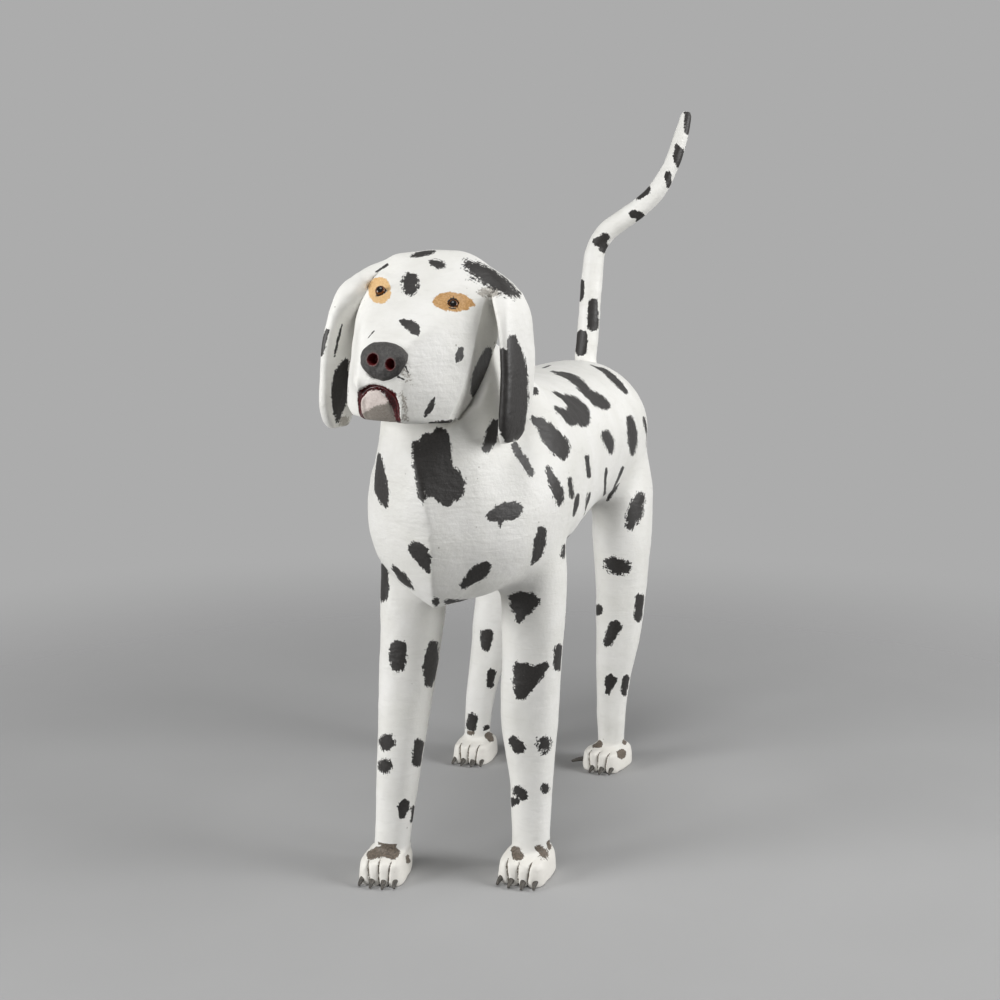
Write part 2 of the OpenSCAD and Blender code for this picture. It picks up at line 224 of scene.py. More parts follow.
def leg_ring(r, count=72):
    a = turns(count)
    return np.column_stack([r[0] + r[3] * squarish(np.cos(a), 2.2),
                            r[1] + r[4] * squarish(np.sin(a), 2.2), np.full(count, r[2])]) - MIDDLE


for which, rows in LEGS.items():
    rings = [leg_ring(r) for r in through(rows, 12)]
    rings[0][:, 2] -= 6             # the foot of the post stands a little way into the paw
    forms[which + "_leg"] = skin(rings)
    forms[which + "_ankle"] = skin([ring for ring in rings if ring[0, 2] < 96])
for name, (points, faces) in forms.items():
    print(name, len(points), "points, lowest and highest", points.min(0).round(1), points.max(0).round(1))

# %% [markdown]
# ## Head, ears and nose
# The head is a wedge. Its outlines are drawn flat, one height after the other from the chin to the
# crown, and it is sawn off along the slanting joint where it sits on the neck. The ears are slabs
# with square-shouldered edges. These pieces have a frame of their own, with the point between the
# eyes as origin, because the head is turned a little to the dog's right and hangs to its left.

# %% Head frame
BROW = np.array([-23, -71, 694])
HEAD_TURN, HEAD_ROLL = math.radians(-5), math.radians(2.5)
HEAD_AXES = np.array(Matrix.Rotation(HEAD_TURN, 3, "Z") @ Matrix.Rotation(HEAD_ROLL, 3, "Y"))


def on_head(side, front, up):
    """Point of the head frame, to the dog's left, forwards and up from the brow, in the dog's frame."""
    return np.stack([side, -np.asarray(front), up], -1) @ HEAD_AXES.T + BROW - MIDDLE


def in_head(points):
    """The way back: side, front and up of points in the dog's frame."""
    p = (np.asarray(points) - BROW + MIDDLE) @ HEAD_AXES
    return p[:, 0], -p[:, 1], p[:, 2]


# %% Head stations
# height, then front and side of the half outline from the middle of the face round to the back
HEAD = [
    [-130, [75, 0], [73, 17], [66, 28], [30, 65.5], [8, 69], [-50, 66], [-92, 48], [-104, 0]],
    [-124, [80, 0], [78, 19], [71, 30], [29, 67.5], [16, 70], [-50, 66], [-96, 50], [-108, 0]],
    [-95, [81, 0], [79, 21], [72, 33], [17, 74.5], [6, 76], [-50, 70], [-97, 52], [-110, 0]],
    [-70, [79, 0], [77, 21], [69, 34], [5, 78], [-6, 79], [-50, 73], [-97, 54], [-110, 0]],
    [-50, [75, 0], [72, 21], [61, 35], [-4, 80], [-14, 80.5], [-52, 74], [-97, 55], [-110, 0]],
    [-25, [45, 0], [42, 24], [32, 46], [-15, 79], [-24, 79.5], [-55, 75], [-97, 56], [-110, 0]],
    [0, [12, 0], [9, 24], [1, 45], [-17, 69], [-34, 76], [-60, 76], [-96, 54], [-108, 0]],
    [22, [-20, 0], [-22, 22], [-29, 42], [-42, 60], [-56, 70], [-72, 69], [-95, 46], [-103, 0]],
    [38, [-43, 0], [-45, 19], [-50, 36], [-58, 49], [-67, 54], [-79, 49], [-92, 31], [-98, 0]],
    [47, [-57, 0], [-58, 13], [-61, 25], [-66, 32], [-71, 33], [-77, 29], [-84, 18], [-87, 0]],
    [50, [-65, 0], [-65, 6], [-67, 11], [-69, 14], [-72, 14], [-75, 12], [-77, 8], [-78, 0]]]
THROAT, NAPE, NECK_X = np.array([-98, 566]), np.array([38, 692]), -13


def head_ring(r):
    half = [[p[0], p[1]] for p in r]
    whole = half + [[p[0], -p[1]] for p in half[6:0:-1]]
    return around(whole, 9)


head_rows = through([[[*p, r[0]] for p in r[1:]] for r in HEAD], 9)
rings = []
for row in head_rows:
    flat = head_ring(row)
    rings.append(on_head(flat[:, 1], flat[:, 0], np.full(len(flat), row[0, 2])))


def sawn(points, faces, at, away):
    """Cuts off what lies on the far side of a plane and closes the cut."""
    bm = bmesh.new()
    made = [bm.verts.new(p) for p in points]
    for f in faces:
        bm.faces.new([made[i] for i in f])
    geometry = bm.verts[:] + bm.edges[:] + bm.faces[:]
    cut = bmesh.ops.bisect_plane(bm, geom=geometry, plane_co=at, plane_no=away, clear_outer=True)
    rim = [e for e in cut["geom_cut"] if isinstance(e, bmesh.types.BMEdge)]
    bmesh.ops.edgeloop_fill(bm, edges=rim)
    bm.verts.index_update()
    out = np.array([v.co for v in bm.verts]), [tuple(v.index for v in f.verts) for f in bm.faces]
    bm.free()
    return out


joint_at = np.array([NECK_X, *THROAT]) - MIDDLE
joint_slope = NAPE - THROAT
joint_down = np.array([0, joint_slope[1], -joint_slope[0]]) / np.linalg.norm(joint_slope)
forms["head"] = sawn(*skin(rings), joint_at, joint_down)
print("head", len(forms["head"][0]), "points, joint looks", joint_down.round(2))

# %% Ear stations
# height, outer face, thickness, front edge, back edge
EAR = [
    [40, 53, 4, -52, -66], [33, 66, 13, -45, -71], [18, 87.5, 20, -31, -76], [0, 100.5, 23, -12, -78],
    [-18, 108, 20, 0, -78], [-39, 112, 17, 5, -77], [-63, 115, 16, 7, -75], [-94, 116.5, 16, 8, -71],
    [-122, 116, 16, 8, -63], [-142, 113.5, 15, 3, -54], [-152, 109, 10, -6, -43]]


def ear_ring(r, hand, count=96):
    a = turns(count)
    side = hand * (r[1] - r[2] / 2 + r[2] / 2 * squarish(np.cos(a), 3.2))
    front = (r[3] + r[4]) / 2 + (r[3] - r[4]) / 2 * squarish(np.sin(a), 3.2)
    return on_head(side, front, np.full(count, r[0]))


for name, hand in (("left_ear", 1), ("right_ear", -1)):
    forms[name] = skin([ear_ring(r, hand) for r in through(EAR, 9)])
    print(name, len(forms[name][0]), "points")

# %% Nose stations
# front, height, half width, half height, from the root out
NOSE = [[48, -67, 18, 14], [58, -67, 23, 18], [68, -68, 25, 20.8], [76.5, -68, 24, 20],
        [83, -69, 18.5, 15], [85.8, -70, 9, 6]]


def nose_ring(r, count=80):
    a = turns(count)
    power = 2.3 + 0.4 * np.sin(a)      # squarer over the top than below
    return on_head(r[2] * squarish(np.cos(a), power), np.full(count, r[0]),
                   r[1] + r[3] * squarish(np.sin(a), power))


forms["nose"] = skin([nose_ring(r) for r in through(NOSE, 8)])
print("nose", len(forms["nose"][0]), "points")

# %% [markdown]
# ## Paws and tail
# Each paw is a block rounded to the ankle above it. The tail is a bent branch: rings stand square
# to a curve that climbs from the rump, leans out to the dog's left and climbs again.

# %% Paw and tail stations
# x and y of the ankle, its half thickness, turn of the paw in degrees to the dog's left, its width
# against a full one, and how far it is set to the dog's left
FEET = {"front_left": (69, 60, 22.8, -3, 0.95, -2), "front_right": (-91.5, 12, 21.2, 5, 0.89, -5),
        "rear_left": (72, 475, 19, -12, 0.95, -2), "rear_right": (-129.5, 450, 18.8, 0, 0.91, 0)}


def on_paw(which, points):
    """Points of a paw's own frame, standing under the ankle, in the dog's frame."""
    x, y, _, turn, _, _ = FEET[which]
    return np.asarray(points) @ np.array(Matrix.Rotation(math.radians(turn), 3, "Z")).T + (x, y, 0) - MIDDLE


def in_paw(which, points):
    """The way back into a paw's own frame."""
    x, y, _, turn, _, _ = FEET[which]
    return (np.asarray(points) + MIDDLE - (x, y, 0)) @ np.array(Matrix.Rotation(math.radians(turn), 3, "Z"))


def paw_rows(r, w, s):
    """Height, half width, front, back and middle of the paw under an ankle of half thickness r."""
    return [[0, 28.5 * w, -39, 24, s], [3, 30.5 * w, -42.5, 28, s], [12, 30.5 * w, -43.5, 29, s],
            [22, 29.5 * w, -42.5, 29, s], [28, 28 * w, -39.5, 28, s],
            [31.5, (27 * w + r) / 2, -r - 7, (27 + r) / 2, s / 2], [35, r, -r - 0.5, r + 0.5, 0]]


for which, (_, _, ankle, _, width, shift) in FEET.items():
    a = turns(112)
    rings = [np.column_stack([p[4] + p[1] * squarish(np.cos(a), 4.2),
                              (p[2] + p[3]) / 2 + (p[3] - p[2]) / 2 * squarish(np.sin(a), 4.2),
                              np.full(len(a), p[0])]) for p in through(paw_rows(ankle, width, shift), 8)]
    forms[which + "_paw"] = skin([on_paw(which, ring) for ring in rings])

# middle of the tail and its thickness against that at the rump
TAIL_THICK = 33
TAIL = [[11, 545, 566, 1], [11, 545, 604, 0.98], [13.5, 546, 634, 0.98], [16, 548, 678, 0.97],
        [18.5, 551, 726, 0.94], [22, 553, 757, 0.92], [35, 556, 781, 0.9], [58, 560, 800, 0.88],
        [86, 565, 820, 0.85], [108, 570, 842, 0.8], [124.5, 574, 870, 0.73], [136, 577, 901, 0.66],
        [143.5, 578.6, 929, 0.6], [148, 579.4, 948, 0.5], [149.5, 579.4, 955, 0.3]]
tail_rows = through(TAIL, 10)
rings = []
for j, row in enumerate(tail_rows):
    along = tail_rows[min(j + 1, len(tail_rows) - 1), :3] - tail_rows[max(j - 1, 0), :3]
    along = along / np.linalg.norm(along)
    side = np.cross((0, 1, 0), along)
    side = side / np.linalg.norm(side)
    a = turns(72)
    rings.append(row[:3] - MIDDLE + TAIL_THICK / 2 * row[3]
                 * (np.outer(np.cos(a), side) + np.outer(np.sin(a), np.cross(along, side))))
forms["tail"] = skin(rings)
print("forms:", ", ".join(forms))

# %% [markdown]
# ## From forms to carved wood
# Lofted forms meet in knife-sharp lines, and nobody carves like that: the maker rounded every inner
# corner with a gouge and a rasp, and the paint then filled what was left. The forms that belong
# together are fused with a voxel remesh, and the points close to two of them are relaxed until the
# corner becomes a hollow curve. Cutting the fused skin along the line where it is as far from one
# form as from the other gives the separate pieces back, with edges that meet exactly.

# %% Fuse forms
VOXEL = {"body": 2.9, "head": 1.5, "nose": 0.9, "paw": 1.2, "tail": 1.6}        # mm


def plain_mesh(name, points, faces):
    """Mesh in metres from points in millimetres."""
    mesh = bpy.data.meshes.new(name)
    mesh.from_pydata([tuple(p) for p in np.asarray(points) * MM], [], [tuple(f) for f in faces])
    mesh.update()
    return mesh


def evaluated_mesh(worker):
    """Mesh that an object's modifiers make."""
    return bpy.data.meshes.new_from_object(worker.evaluated_get(bpy.context.evaluated_depsgraph_get()))


def triangles(mesh):
    mesh.calc_loop_triangles()
    found = np.empty(len(mesh.loop_triangles) * 3, np.int32)
    mesh.loop_triangles.foreach_get("vertices", found)
    return found.reshape(-1, 3)


def positions(mesh):
    found = np.empty(len(mesh.vertices) * 3, np.float32)
    mesh.vertices.foreach_get("co", found)
    return found.reshape(-1, 3).astype(float) / MM


def fused(names, voxel):
    """One skin round several forms, as points and triangles."""
    points, faces = [], []
    for name in names:
        faces += [tuple(i + sum(map(len, points)) for i in f) for f in forms[name][1]]
        points.append(forms[name][0])
    worker = into_scene("worker", plain_mesh("worker", np.vstack(points), faces))
    remesh = worker.modifiers.new("voxels", "REMESH")
    remesh.mode = "VOXEL"
    remesh.voxel_size = voxel * MM
    made = evaluated_mesh(worker)
    out = positions(made), triangles(made)
    bpy.data.objects.remove(worker)
    bpy.data.meshes.remove(made)
    return out


# %% Relax and measure a skin
def edges_of(tris):
    pairs = np.sort(np.vstack([tris[:, [0, 1]], tris[:, [1, 2]], tris[:, [2, 0]]]), 1)
    return np.unique(pairs, axis=0)


def relaxed(points, tris, weight, rounds):
    """Moves each point towards the middle of its neighbours, by its weight, round after round."""
    e = edges_of(tris)
    count = len(points)
    ends, others = np.concatenate([e[:, 0], e[:, 1]]), np.concatenate([e[:, 1], e[:, 0]])
    neighbours = np.bincount(ends, minlength=count)[:, None]
    weight = np.broadcast_to(weight, count)[:, None]
    p = points.copy()
    for _ in range(rounds):
        mean = np.column_stack([np.bincount(ends, p[others, k], count) for k in range(3)]) / neighbours
        p += weight * (mean - p)
    return p


def point_normals(points, tris):
    """Outward direction at each point, from the triangles round it."""
    across = np.cross(points[tris[:, 1]] - points[tris[:, 0]], points[tris[:, 2]] - points[tris[:, 0]])
    total = np.column_stack([np.bincount(tris.ravel(), np.repeat(across[:, k], 3), len(points))
                             for k in range(3)])
    return total / np.maximum(np.linalg.norm(total, axis=1), 1e-9)[:, None]


FAR = 90.0                          # no need to measure further than this, mm


def distance_to(name, points):
    """How far each point is from a form's surface, at most FAR."""
    tree = BVHTree.FromPolygons([tuple(p) for p in forms[name][0]], forms[name][1])
    low, high = forms[name][0].min(0) - FAR, forms[name][0].max(0) + FAR
    found = np.full(len(points), FAR)
    for i in np.flatnonzero(((points > low) & (points < high)).all(1)):
        hit = tree.find_nearest(points[i], FAR)
        if hit[0] is not None:
            found[i] = hit[3]
    return found


# %% Fuse trunk and legs
body_names = ["trunk"] + [w + "_leg" for w in LEGS]
body_points, body_tris = fused(body_names, VOXEL["body"])
print("body skin:", len(body_points), "points,", len(body_tris), "triangles")

# %% Hollow the corners between trunk and legs
HOLLOW = 46.0                       # how far the gouge work reaches on each side of a joint, mm


def eased(t):
    t = np.clip(t, 0, 1)
    return t * t * (3 - 2 * t)


def hollowed(points, tris, one, other, reach, rounds):
    """Relaxes the skin where it is close to two forms at once; gives the new points."""
    corner = eased(1 - np.maximum(one, other) / reach)
    return relaxed(points, tris, 0.5 * corner, rounds)


to_trunk = distance_to("trunk", body_points)
to_leg = {w: distance_to(w + "_leg", body_points) for w in LEGS}
nearest_leg = np.min(list(to_leg.values()), 0)
body_points = relaxed(body_points, body_tris, 0.5, 5)
body_points = hollowed(body_points, body_tris, to_trunk, nearest_leg, HOLLOW, 110)
print("points near a joint:", (np.maximum(to_trunk, nearest_leg) < HOLLOW).sum())

# %% [markdown]
# ## Breast and neck
# The breast comes to an edge, like the bow of a boat: both sides of it are cut flat. The right side
# of the neck is pared down under the jaw, and the left side draws back behind the cheek. The places
# of these cuts come from the photograph, so they are given in its pixels.

# %% Keel of the breast
KEEL = np.array([(411, 428), (416, 455), (424, 490), (430, 525), (432, 560), (435, 596), (437, 612)], float)
KEEL_REACH, KEEL_ROUND = 46.0, 100.0    # width of each flat, and the roundness that it takes away, mm
pixels, far = in_photo(body_points)
across, down = pixels.T
from_keel = (across - np.interp(down, KEEL[:, 1], KEEL[:, 0])) * far / FOCAL
along_keel = eased((down - 425) / 45) * eased((625 - down) / 25) * eased((1640 - far) / 40)
ridge = np.maximum(0, KEEL_REACH - np.abs(from_keel)) ** 2 / (2 * KEEL_ROUND) * along_keel
body_points = body_points + ridge[:, None] * point_normals(body_points, body_tris)
print("keel stands out by", ridge.max().round(1), "mm")

# %% Neck under the jaw and behind the left cheek
NECK_PARED, NECK_BACK = 5.0, 20.0   # how far the wood is taken away, mm
CHEEK_LINE = np.array([(500, 330), (494, 378), (481, 405), (455, 427)], float)     # edge of the cheek
slim = eased((402 - across) / 16) * eased((480 - down) / 45) * eased((1690 - far) / 60)
body_points[:, 0] += NECK_PARED * slim
behind = np.interp(down, CHEEK_LINE[:, 1], CHEEK_LINE[:, 0]) - across
behind = eased(behind / 14) * eased((432 - down) / 16) * eased((across - 425) / 25)
away = body_points - EYE_POINT
away /= np.linalg.norm(away, axis=1)[:, None]
behind *= eased((1670 - far) / 50) * eased(-3 * (away * point_normals(body_points, body_tris)).sum(1))
behind *= eased((-195 - body_points[:, 1]) / 25) * eased((668 - body_points[:, 2]) / 20)
body_points += NECK_BACK * behind[:, None] * away
print("neck drawn back by", (NECK_BACK * behind.max()).round(1), "mm")

# %% Leave the marks of hand work
# soft waves of a skin: pairs of the width of a wave and its depth, mm
BODY_WAVES, HEAD_WAVES = ((52, 1.3), (19, 0.45)), ((38, 0.8), (12, 0.25))
NOSE_WAVES, TAIL_WAVES = ((14, 1.0), (5, 0.55)), ((30, 1.1), (11, 0.35))
PAW_WAVES = ((16, 0.8), (6, 0.25))


def uneven(points, normals, waves):
    """Pushes a skin in and out by soft noise."""
    move = np.zeros(len(points))
    for width, depth in waves:
        move += depth * np.array([noise.noise(Vector(p / width)) for p in points])
    return points + normals * move[:, None]


body_points = uneven(body_points, point_normals(body_points, body_tris), BODY_WAVES)
print("body box", body_points.min(0).round(1), body_points.max(0).round(1))

# %% Cut a skin into pieces
ON_LINE = 0.2                       # a point closer to a cut than this is taken to lie on it, mm


def parted(points, tris, value):
    """Cuts triangles along the line where a value at the points passes zero.
    Gives the two parents of each new point with its share between them, and the triangles of each side."""
    value = np.where(np.abs(value) < ON_LINE, 0.0, value)
    sign = np.sign(value[tris])
    mixed = (sign.max(1) > 0) & (sign.min(1) < 0)
    above = list(map(tuple, tris[~mixed & (sign.min(1) >= 0) & (sign.max(1) > 0)]))
    below = list(map(tuple, tris[~mixed & (sign.max(1) <= 0)]))
    added, parents = {}, []

    def crossing(i, j):
        key = (min(i, j), max(i, j))
        if key not in added:
            added[key] = len(points) + len(added)
            share = value[key[0]] / (value[key[0]] - value[key[1]])
            parents.append((key[0], key[1], share))
        return added[key]

    for tri in tris[mixed]:
        outline = []
        for k in range(3):
            i, j = int(tri[k]), int(tri[(k + 1) % 3])
            outline.append((i, np.sign(value[i])))
            if value[i] * value[j] < 0:
                outline.append((crossing(i, j), 0))
        for side, half in ((1, above), (-1, below)):
            part = [i for i, s in outline if s * side >= 0]
            half += [(part[0], part[k], part[k + 1]) for k in range(1, len(part) - 1)]
    parents = np.array(parents).reshape(-1, 3)
    return parents, np.array(above, int), np.array(below, int)


def with_added(parents, values):
    """Values at the points with those at the new points, between their two parents."""
    i, j, share = parents[:, 0].astype(int), parents[:, 1].astype(int), parents[:, 2]
    if values.ndim == 2:
        share = share[:, None]
    return np.concatenate([values, values[i] * (1 - share) + values[j] * share])


def closed_piece(points, normals, tris):
    """Piece from part of a skin: its own points, and a lid over each open rim."""
    used, small = np.unique(tris, return_inverse=True)
    tris = small.reshape(-1, 3)
    points, normals = points[used], normals[used]
    half = {(a, b) for t in tris for a, b in ((t[0], t[1]), (t[1], t[2]), (t[2], t[0]))}
    after = {b: a for a, b in half if (b, a) not in half}
    lids, middles = [], []
    while after:
        start = next(iter(after))
        loop, at = [], start
        while at in after:
            loop.append(at)
            at = after.pop(at)
        middle = len(points) + len(middles)
        middles.append(points[loop].mean(0))
        lids += [(loop[k], loop[(k + 1) % len(loop)], middle) for k in range(len(loop))]
    shown = len(tris)
    if lids:
        points = np.vstack([points, middles])
        normals = np.vstack([normals, np.tile((0.0, 0.0, 1.0), (len(middles), 1))])
        tris = np.vstack([tris, lids])
    return {"points": points, "normals": normals, "tris": tris, "shown": shown}


def cut_out(points, tris, values):
    """Cuts one piece after another from a skin: values holds a name and, at each point, a number that
    is below zero on that piece. Gives the pieces and what is left."""
    normals = point_normals(points, tris)
    made, fields = {}, dict(values)
    for name in values:
        parents, tris, made[name] = parted(points, tris, fields[name])
        points, normals = with_added(parents, points), with_added(parents, normals)
        fields = {n: with_added(parents, f) for n, f in fields.items()}
    made = {n: closed_piece(points, normals, own) for n, own in made.items()}
    return made, closed_piece(points, normals, tris)


# %% Part the trunk and the legs
ANKLE, LAP = 46.0, 3                # height of a paw's upper edge, and how far the leg runs into it, mm
parents, body_tris, _ = parted(body_points, body_tris, body_points[:, 2] - ANKLE + LAP)
body_points, to_trunk = with_added(parents, body_points), with_added(parents, to_trunk)
to_leg = {w: with_added(parents, far) for w, far in to_leg.items()}
# below zero where a leg is nearer than the trunk, and above zero where both are far away
pieces, trunk = cut_out(body_points, body_tris,
                        {w + "_leg": to_leg[w] - np.minimum(to_trunk, FAR / 2) for w in LEGS})
pieces["trunk"] = trunk
for name, piece in pieces.items():
    print(name, len(piece["tris"]), "triangles, of which lid", len(piece["tris"]) - piece["shown"])

# %% Fuse the head with the ears
EAR_HOLLOW = 34                     # how far the hollow between an ear and the dome reaches, mm
head_points, head_tris = fused(["head", "left_ear", "right_ear"], VOXEL["head"])
to_head = distance_to("head", head_points)
to_ear = {n: distance_to(n, head_points) for n in ("left_ear", "right_ear")}
nearest_ear = np.min(list(to_ear.values()), 0)
head_own = to_head < nearest_ear
head_points = relaxed(head_points, head_tris, 0.5, 5)
side, front, up = in_head(head_points)
ear_root = eased((up + 1) / 12)     # an ear runs into the dome only at its top
head_points = hollowed(head_points, head_tris, to_head + 40 * (1 - ear_root), nearest_ear, EAR_HOLLOW, 260)
print("head skin:", len(head_points), "points,", len(head_tris), "triangles")

# %% [markdown]
# ## Cheek, ear and crown
# The left cheek is softened, drawn down on to the neck, and planed flat from a corner that runs from
# the brow to the jaw. The right ear swells towards its inner edge, and the dome is full above it.

# %% Left cheek
# height, side and front of the corner where the flat starts
CHEEK_FLAT = np.array([(-130, 60, 33), (-124, 61, 34), (-95, 69, 24), (-70, 71.5, 15), (-50, 73, 7),
                       (-25, 73, -6), (0, 72, -19)])
CHEEK_INWARDS = 0.09                # how much the flat runs inwards to the back
CHEEK_DOWN = 22                     # how far the cheek is drawn down, mm
cheek = eased((side + 4) / 20) * eased((up + 112) / 14) * eased((24 - up) / 24) * eased((front + 30) / 16)
cheek *= eased(-((head_points - joint_at) @ joint_down - 6) / 24)      # the sawn edge stays
head_points = relaxed(head_points, head_tris, 0.5 * cheek, 12)
side, front, up = in_head(head_points)
over_joint = up + 128 - 0.926 * (27 - front)         # height over the sawn joint
drawn_down = CHEEK_DOWN * (1 - eased(over_joint / 55)) * eased((side - 18) / 24) * eased((94 - side) / 10)
drawn_down *= eased((24 - front) / 24) * eased((front + 75) / 35)
head_points = on_head(side - 0.3 * drawn_down, front, up - drawn_down)
side, front, up = in_head(head_points)
flat_side, flat_front = [np.interp(up, CHEEK_FLAT[:, 0], CHEEK_FLAT[:, k]) for k in (1, 2)]
planed = np.maximum(0, side - flat_side + CHEEK_INWARDS * (flat_front - front)) * head_own
planed *= eased((front + 75) / 30) * eased((8 - up) / 16)
head_points = on_head(side - planed, front, up)
print("cheek drawn down by", drawn_down.max().round(1), "and planed by", planed.max().round(1), "mm")

# %% Right ear and crown
# the inner edge of the ear runs through these points of the photograph
EAR_EDGE = np.array([(360, 290), (356, 310), (352, 335), (351, 365), (349, 395)], float)
EAR_REACH, EAR_BEND = 40.0, 90.0    # width of the swelling, and the radius of its bend, mm
# fullness of the dome: its height, then its middle and reach to the side, to the front and upwards
CROWN = ((6.5, (-50, 20), (-55, 26), (39, 12)), (6.0, (-76, 18), (-48, 26), (22, 15)),
         (4.5, (-94, 15), (-24, 26), (-2, 18)))
normals = point_normals(head_points, head_tris)
pixels, far = in_photo(head_points)
across, down = pixels.T
swollen = (normals * (EYE_POINT - head_points)).sum(1) > 0
swollen = swollen & ~head_own & (side < 0)
off = np.abs(across - np.interp(down, EAR_EDGE[:, 1], EAR_EDGE[:, 0])) * far / FOCAL
swell = np.maximum(0, EAR_REACH - off) ** 2 / (2 * EAR_BEND) * swollen
swell *= eased((down - 262) / 40) * eased((410 - down) / 50)
head_points = relaxed(head_points + swell[:, None] * normals, head_tris, 0.5 * swollen, 2)
crown = sum(height * np.exp(-((side - s) / reach_s) ** 2 - ((front - f) / reach_f) ** 2
                            - ((up - u) / reach_u) ** 2)
            for height, (s, reach_s), (f, reach_f), (u, reach_u) in CROWN)
head_points = head_points + crown[:, None] * point_normals(head_points, head_tris)
head_points = uneven(head_points, point_normals(head_points, head_tris), HEAD_WAVES)
print("ear swells by", swell.max().round(1), "mm")

# %% [markdown]
# ## Cutting the face
# The face has little carving: two bored holes for the eyes, one that takes the root of the nose, and
# a mouth cut as an arched groove with the tip of the chin left standing inside it. The skin of the
# head is fine enough to move its points: each cut says how deep it is at a distance from its own line.

# %% Mouth, eye holes and muzzle
# side, front and height of a glass eye in the head, and how far it looks to the dog's left, degrees
EYES = {"left_eye": (45.0, 2.0, -8.0, 22), "right_eye": (-42.2, 0.4, 2.7, 10)}
EYE_ROUND = 6.0                     # radius of a glass eye, mm
MOUTH_ROUND, MOUTH_TOP, MOUTH_SIDE = 22.6, -115.8, -4.2     # arch: radius, height and side of its middle
MUZZLE_FROM = 58                    # the muzzle's face starts this far to the front, mm
GROOVE_DEEP, CHIN_BACK, BED_DEEP, SOCKET_DEEP, LIP_FORWARD = 5.0, 2.4, 16, 6.5, 4.5        # mm
CHEEK_PARED, JOWL_PARED = 0.19, 0.055       # shares of its width that the right cheek loses


def to_mouth_line(side, up):
    """Signed distance to the arched line of the mouth, below zero inside the arch, and the line's half
    width: thin over the top, thicker to the dog's left."""
    side = side - MOUTH_SIDE
    arch = np.hypot(side, up - MOUTH_TOP) - MOUTH_ROUND
    thick = 3.6 + 0.5 * eased((side - 2) / 12) - 1.4 * eased((up - MOUTH_TOP - 13) / 8)
    return np.where(up > MOUTH_TOP, arch, np.abs(side) - MOUTH_ROUND), thick


def eye_axis(name):
    """The middle of a glass eye and the way it looks, in the dog's frame."""
    side, front, up, turn = EYES[name]
    look = Matrix.Rotation(math.radians(turn), 3, "Z") @ Matrix.Rotation(math.radians(62), 3, "X")
    out = HEAD_AXES @ np.array(look @ Vector((0, 0, 1)))
    return on_head(side, front, up), out


def cut_face(points):
    """Points of the head after the mouth and the eye holes are cut."""
    side, front, up = in_head(points)
    slim = eased((-side - 8) / 14) * eased((front - 20) / 30) * eased((-84 - up) / 24)
    side = side * (1 - CHEEK_PARED * slim)              # the right cheek is pared down towards the mouth
    spare = eased((-side - 30) / 22) * eased((-25 - up) / 35) * eased((front + 40) / 30)
    spare = spare * eased((side + 88) / 8)
    side = side * (1 - JOWL_PARED * spare)              # and by less further up
    lip = LIP_FORWARD * eased((-side - 14) / 14) * eased((front - MUZZLE_FROM) / 8)
    front = front + lip * eased((-82 - up) / 12)
    from_line, thick = to_mouth_line(side, up)
    on_muzzle = eased((front - MUZZLE_FROM) / 8)
    groove = GROOVE_DEEP * np.clip(1 - (from_line / (thick + 1)) ** 2, 0, 1)
    chin = CHIN_BACK * eased((-from_line - 1) / 3) * eased((MOUTH_TOP + 14 - up) / 30)
    under = 0.42 * np.maximum(0, 0.36 * side - (up + 112)) * eased((-from_line - 2) / 3)
    bed = BED_DEEP * eased((17 - np.hypot(side / 1.15, up + 68)) / 4)       # takes the root of the nose
    front = front - on_muzzle * (groove + chin + under + bed)
    points = on_head(side, front, up)
    for name in EYES:
        at, out = eye_axis(name)
        along = (points - at) @ out
        off = np.linalg.norm(points - at - np.outer(along, out), axis=1)
        depth = SOCKET_DEEP * eased((EYE_ROUND - 0.2 - off) / 1.0) + 0.9 * np.exp(-((off - 8) / 4) ** 2)
        points = points - np.outer(depth * (np.abs(along) < 14), out)
    return points


head_points = cut_face(head_points)
head_pieces, pieces["head"] = cut_out(head_points, head_tris,
                                      {n: to_ear[n] - np.minimum(to_head, FAR / 2) for n in to_ear})
pieces.update(head_pieces)
print({n: len(pieces[n]["tris"]) for n in ("head", "left_ear", "right_ear")})

# %% Nose with its nostrils
def whole_piece(points, tris):
    return {"points": points, "normals": point_normals(points, tris), "tris": tris, "shown": len(tris)}


NOSTRILS = ((-5.0, -64.3, 0.95), (14.2, -68.3, 1.2))     # side and height of their middles, narrowness
NOSE_FRONT = 84                     # where those middles are given, mm to the front
PIT_DEEP, RIM_HIGH = 12, 0.8        # depth of a nostril and height of its rim, mm


def nostril(points):
    """How far points are from the nearer nostril's middle line, in mm."""
    side, front, up = in_head(points)
    deep = front - NOSE_FRONT
    return np.min([np.hypot((side - s - deep * np.sign(s) * 0.2) * narrow, (up - u) + deep * 0.17)
                   for s, u, narrow in NOSTRILS], 0)


nose_points, nose_tris = fused(["nose"], VOXEL["nose"])
nose_points = relaxed(nose_points, nose_tris, 0.5, 4)
nose_points = uneven(nose_points, point_normals(nose_points, nose_tris), NOSE_WAVES)
side, front, up = in_head(nose_points)
low = eased((-68 - up) / 24)        # the nose narrows downwards, and leans to the dog's left there
fuller = 4 * np.exp(-((up + 60) / 14) ** 2) * eased((side - 8) / 14)
side = side + low * (3.0 - 0.10 * (side - 5)) + fuller
nose_points = on_head(side, front, up)
from_nostril = nostril(nose_points) + 12 * (1 - eased((front - 70) / 4))
pit = PIT_DEEP * eased((5.8 - from_nostril) / 1.8)
rim = RIM_HIGH * np.exp(-((from_nostril - 6.6) / 1.3) ** 2)
nose_points = on_head(side, front - pit + rim, up)
pieces["nose"] = whole_piece(nose_points, nose_tris)
print("nose", len(nose_tris), "triangles")

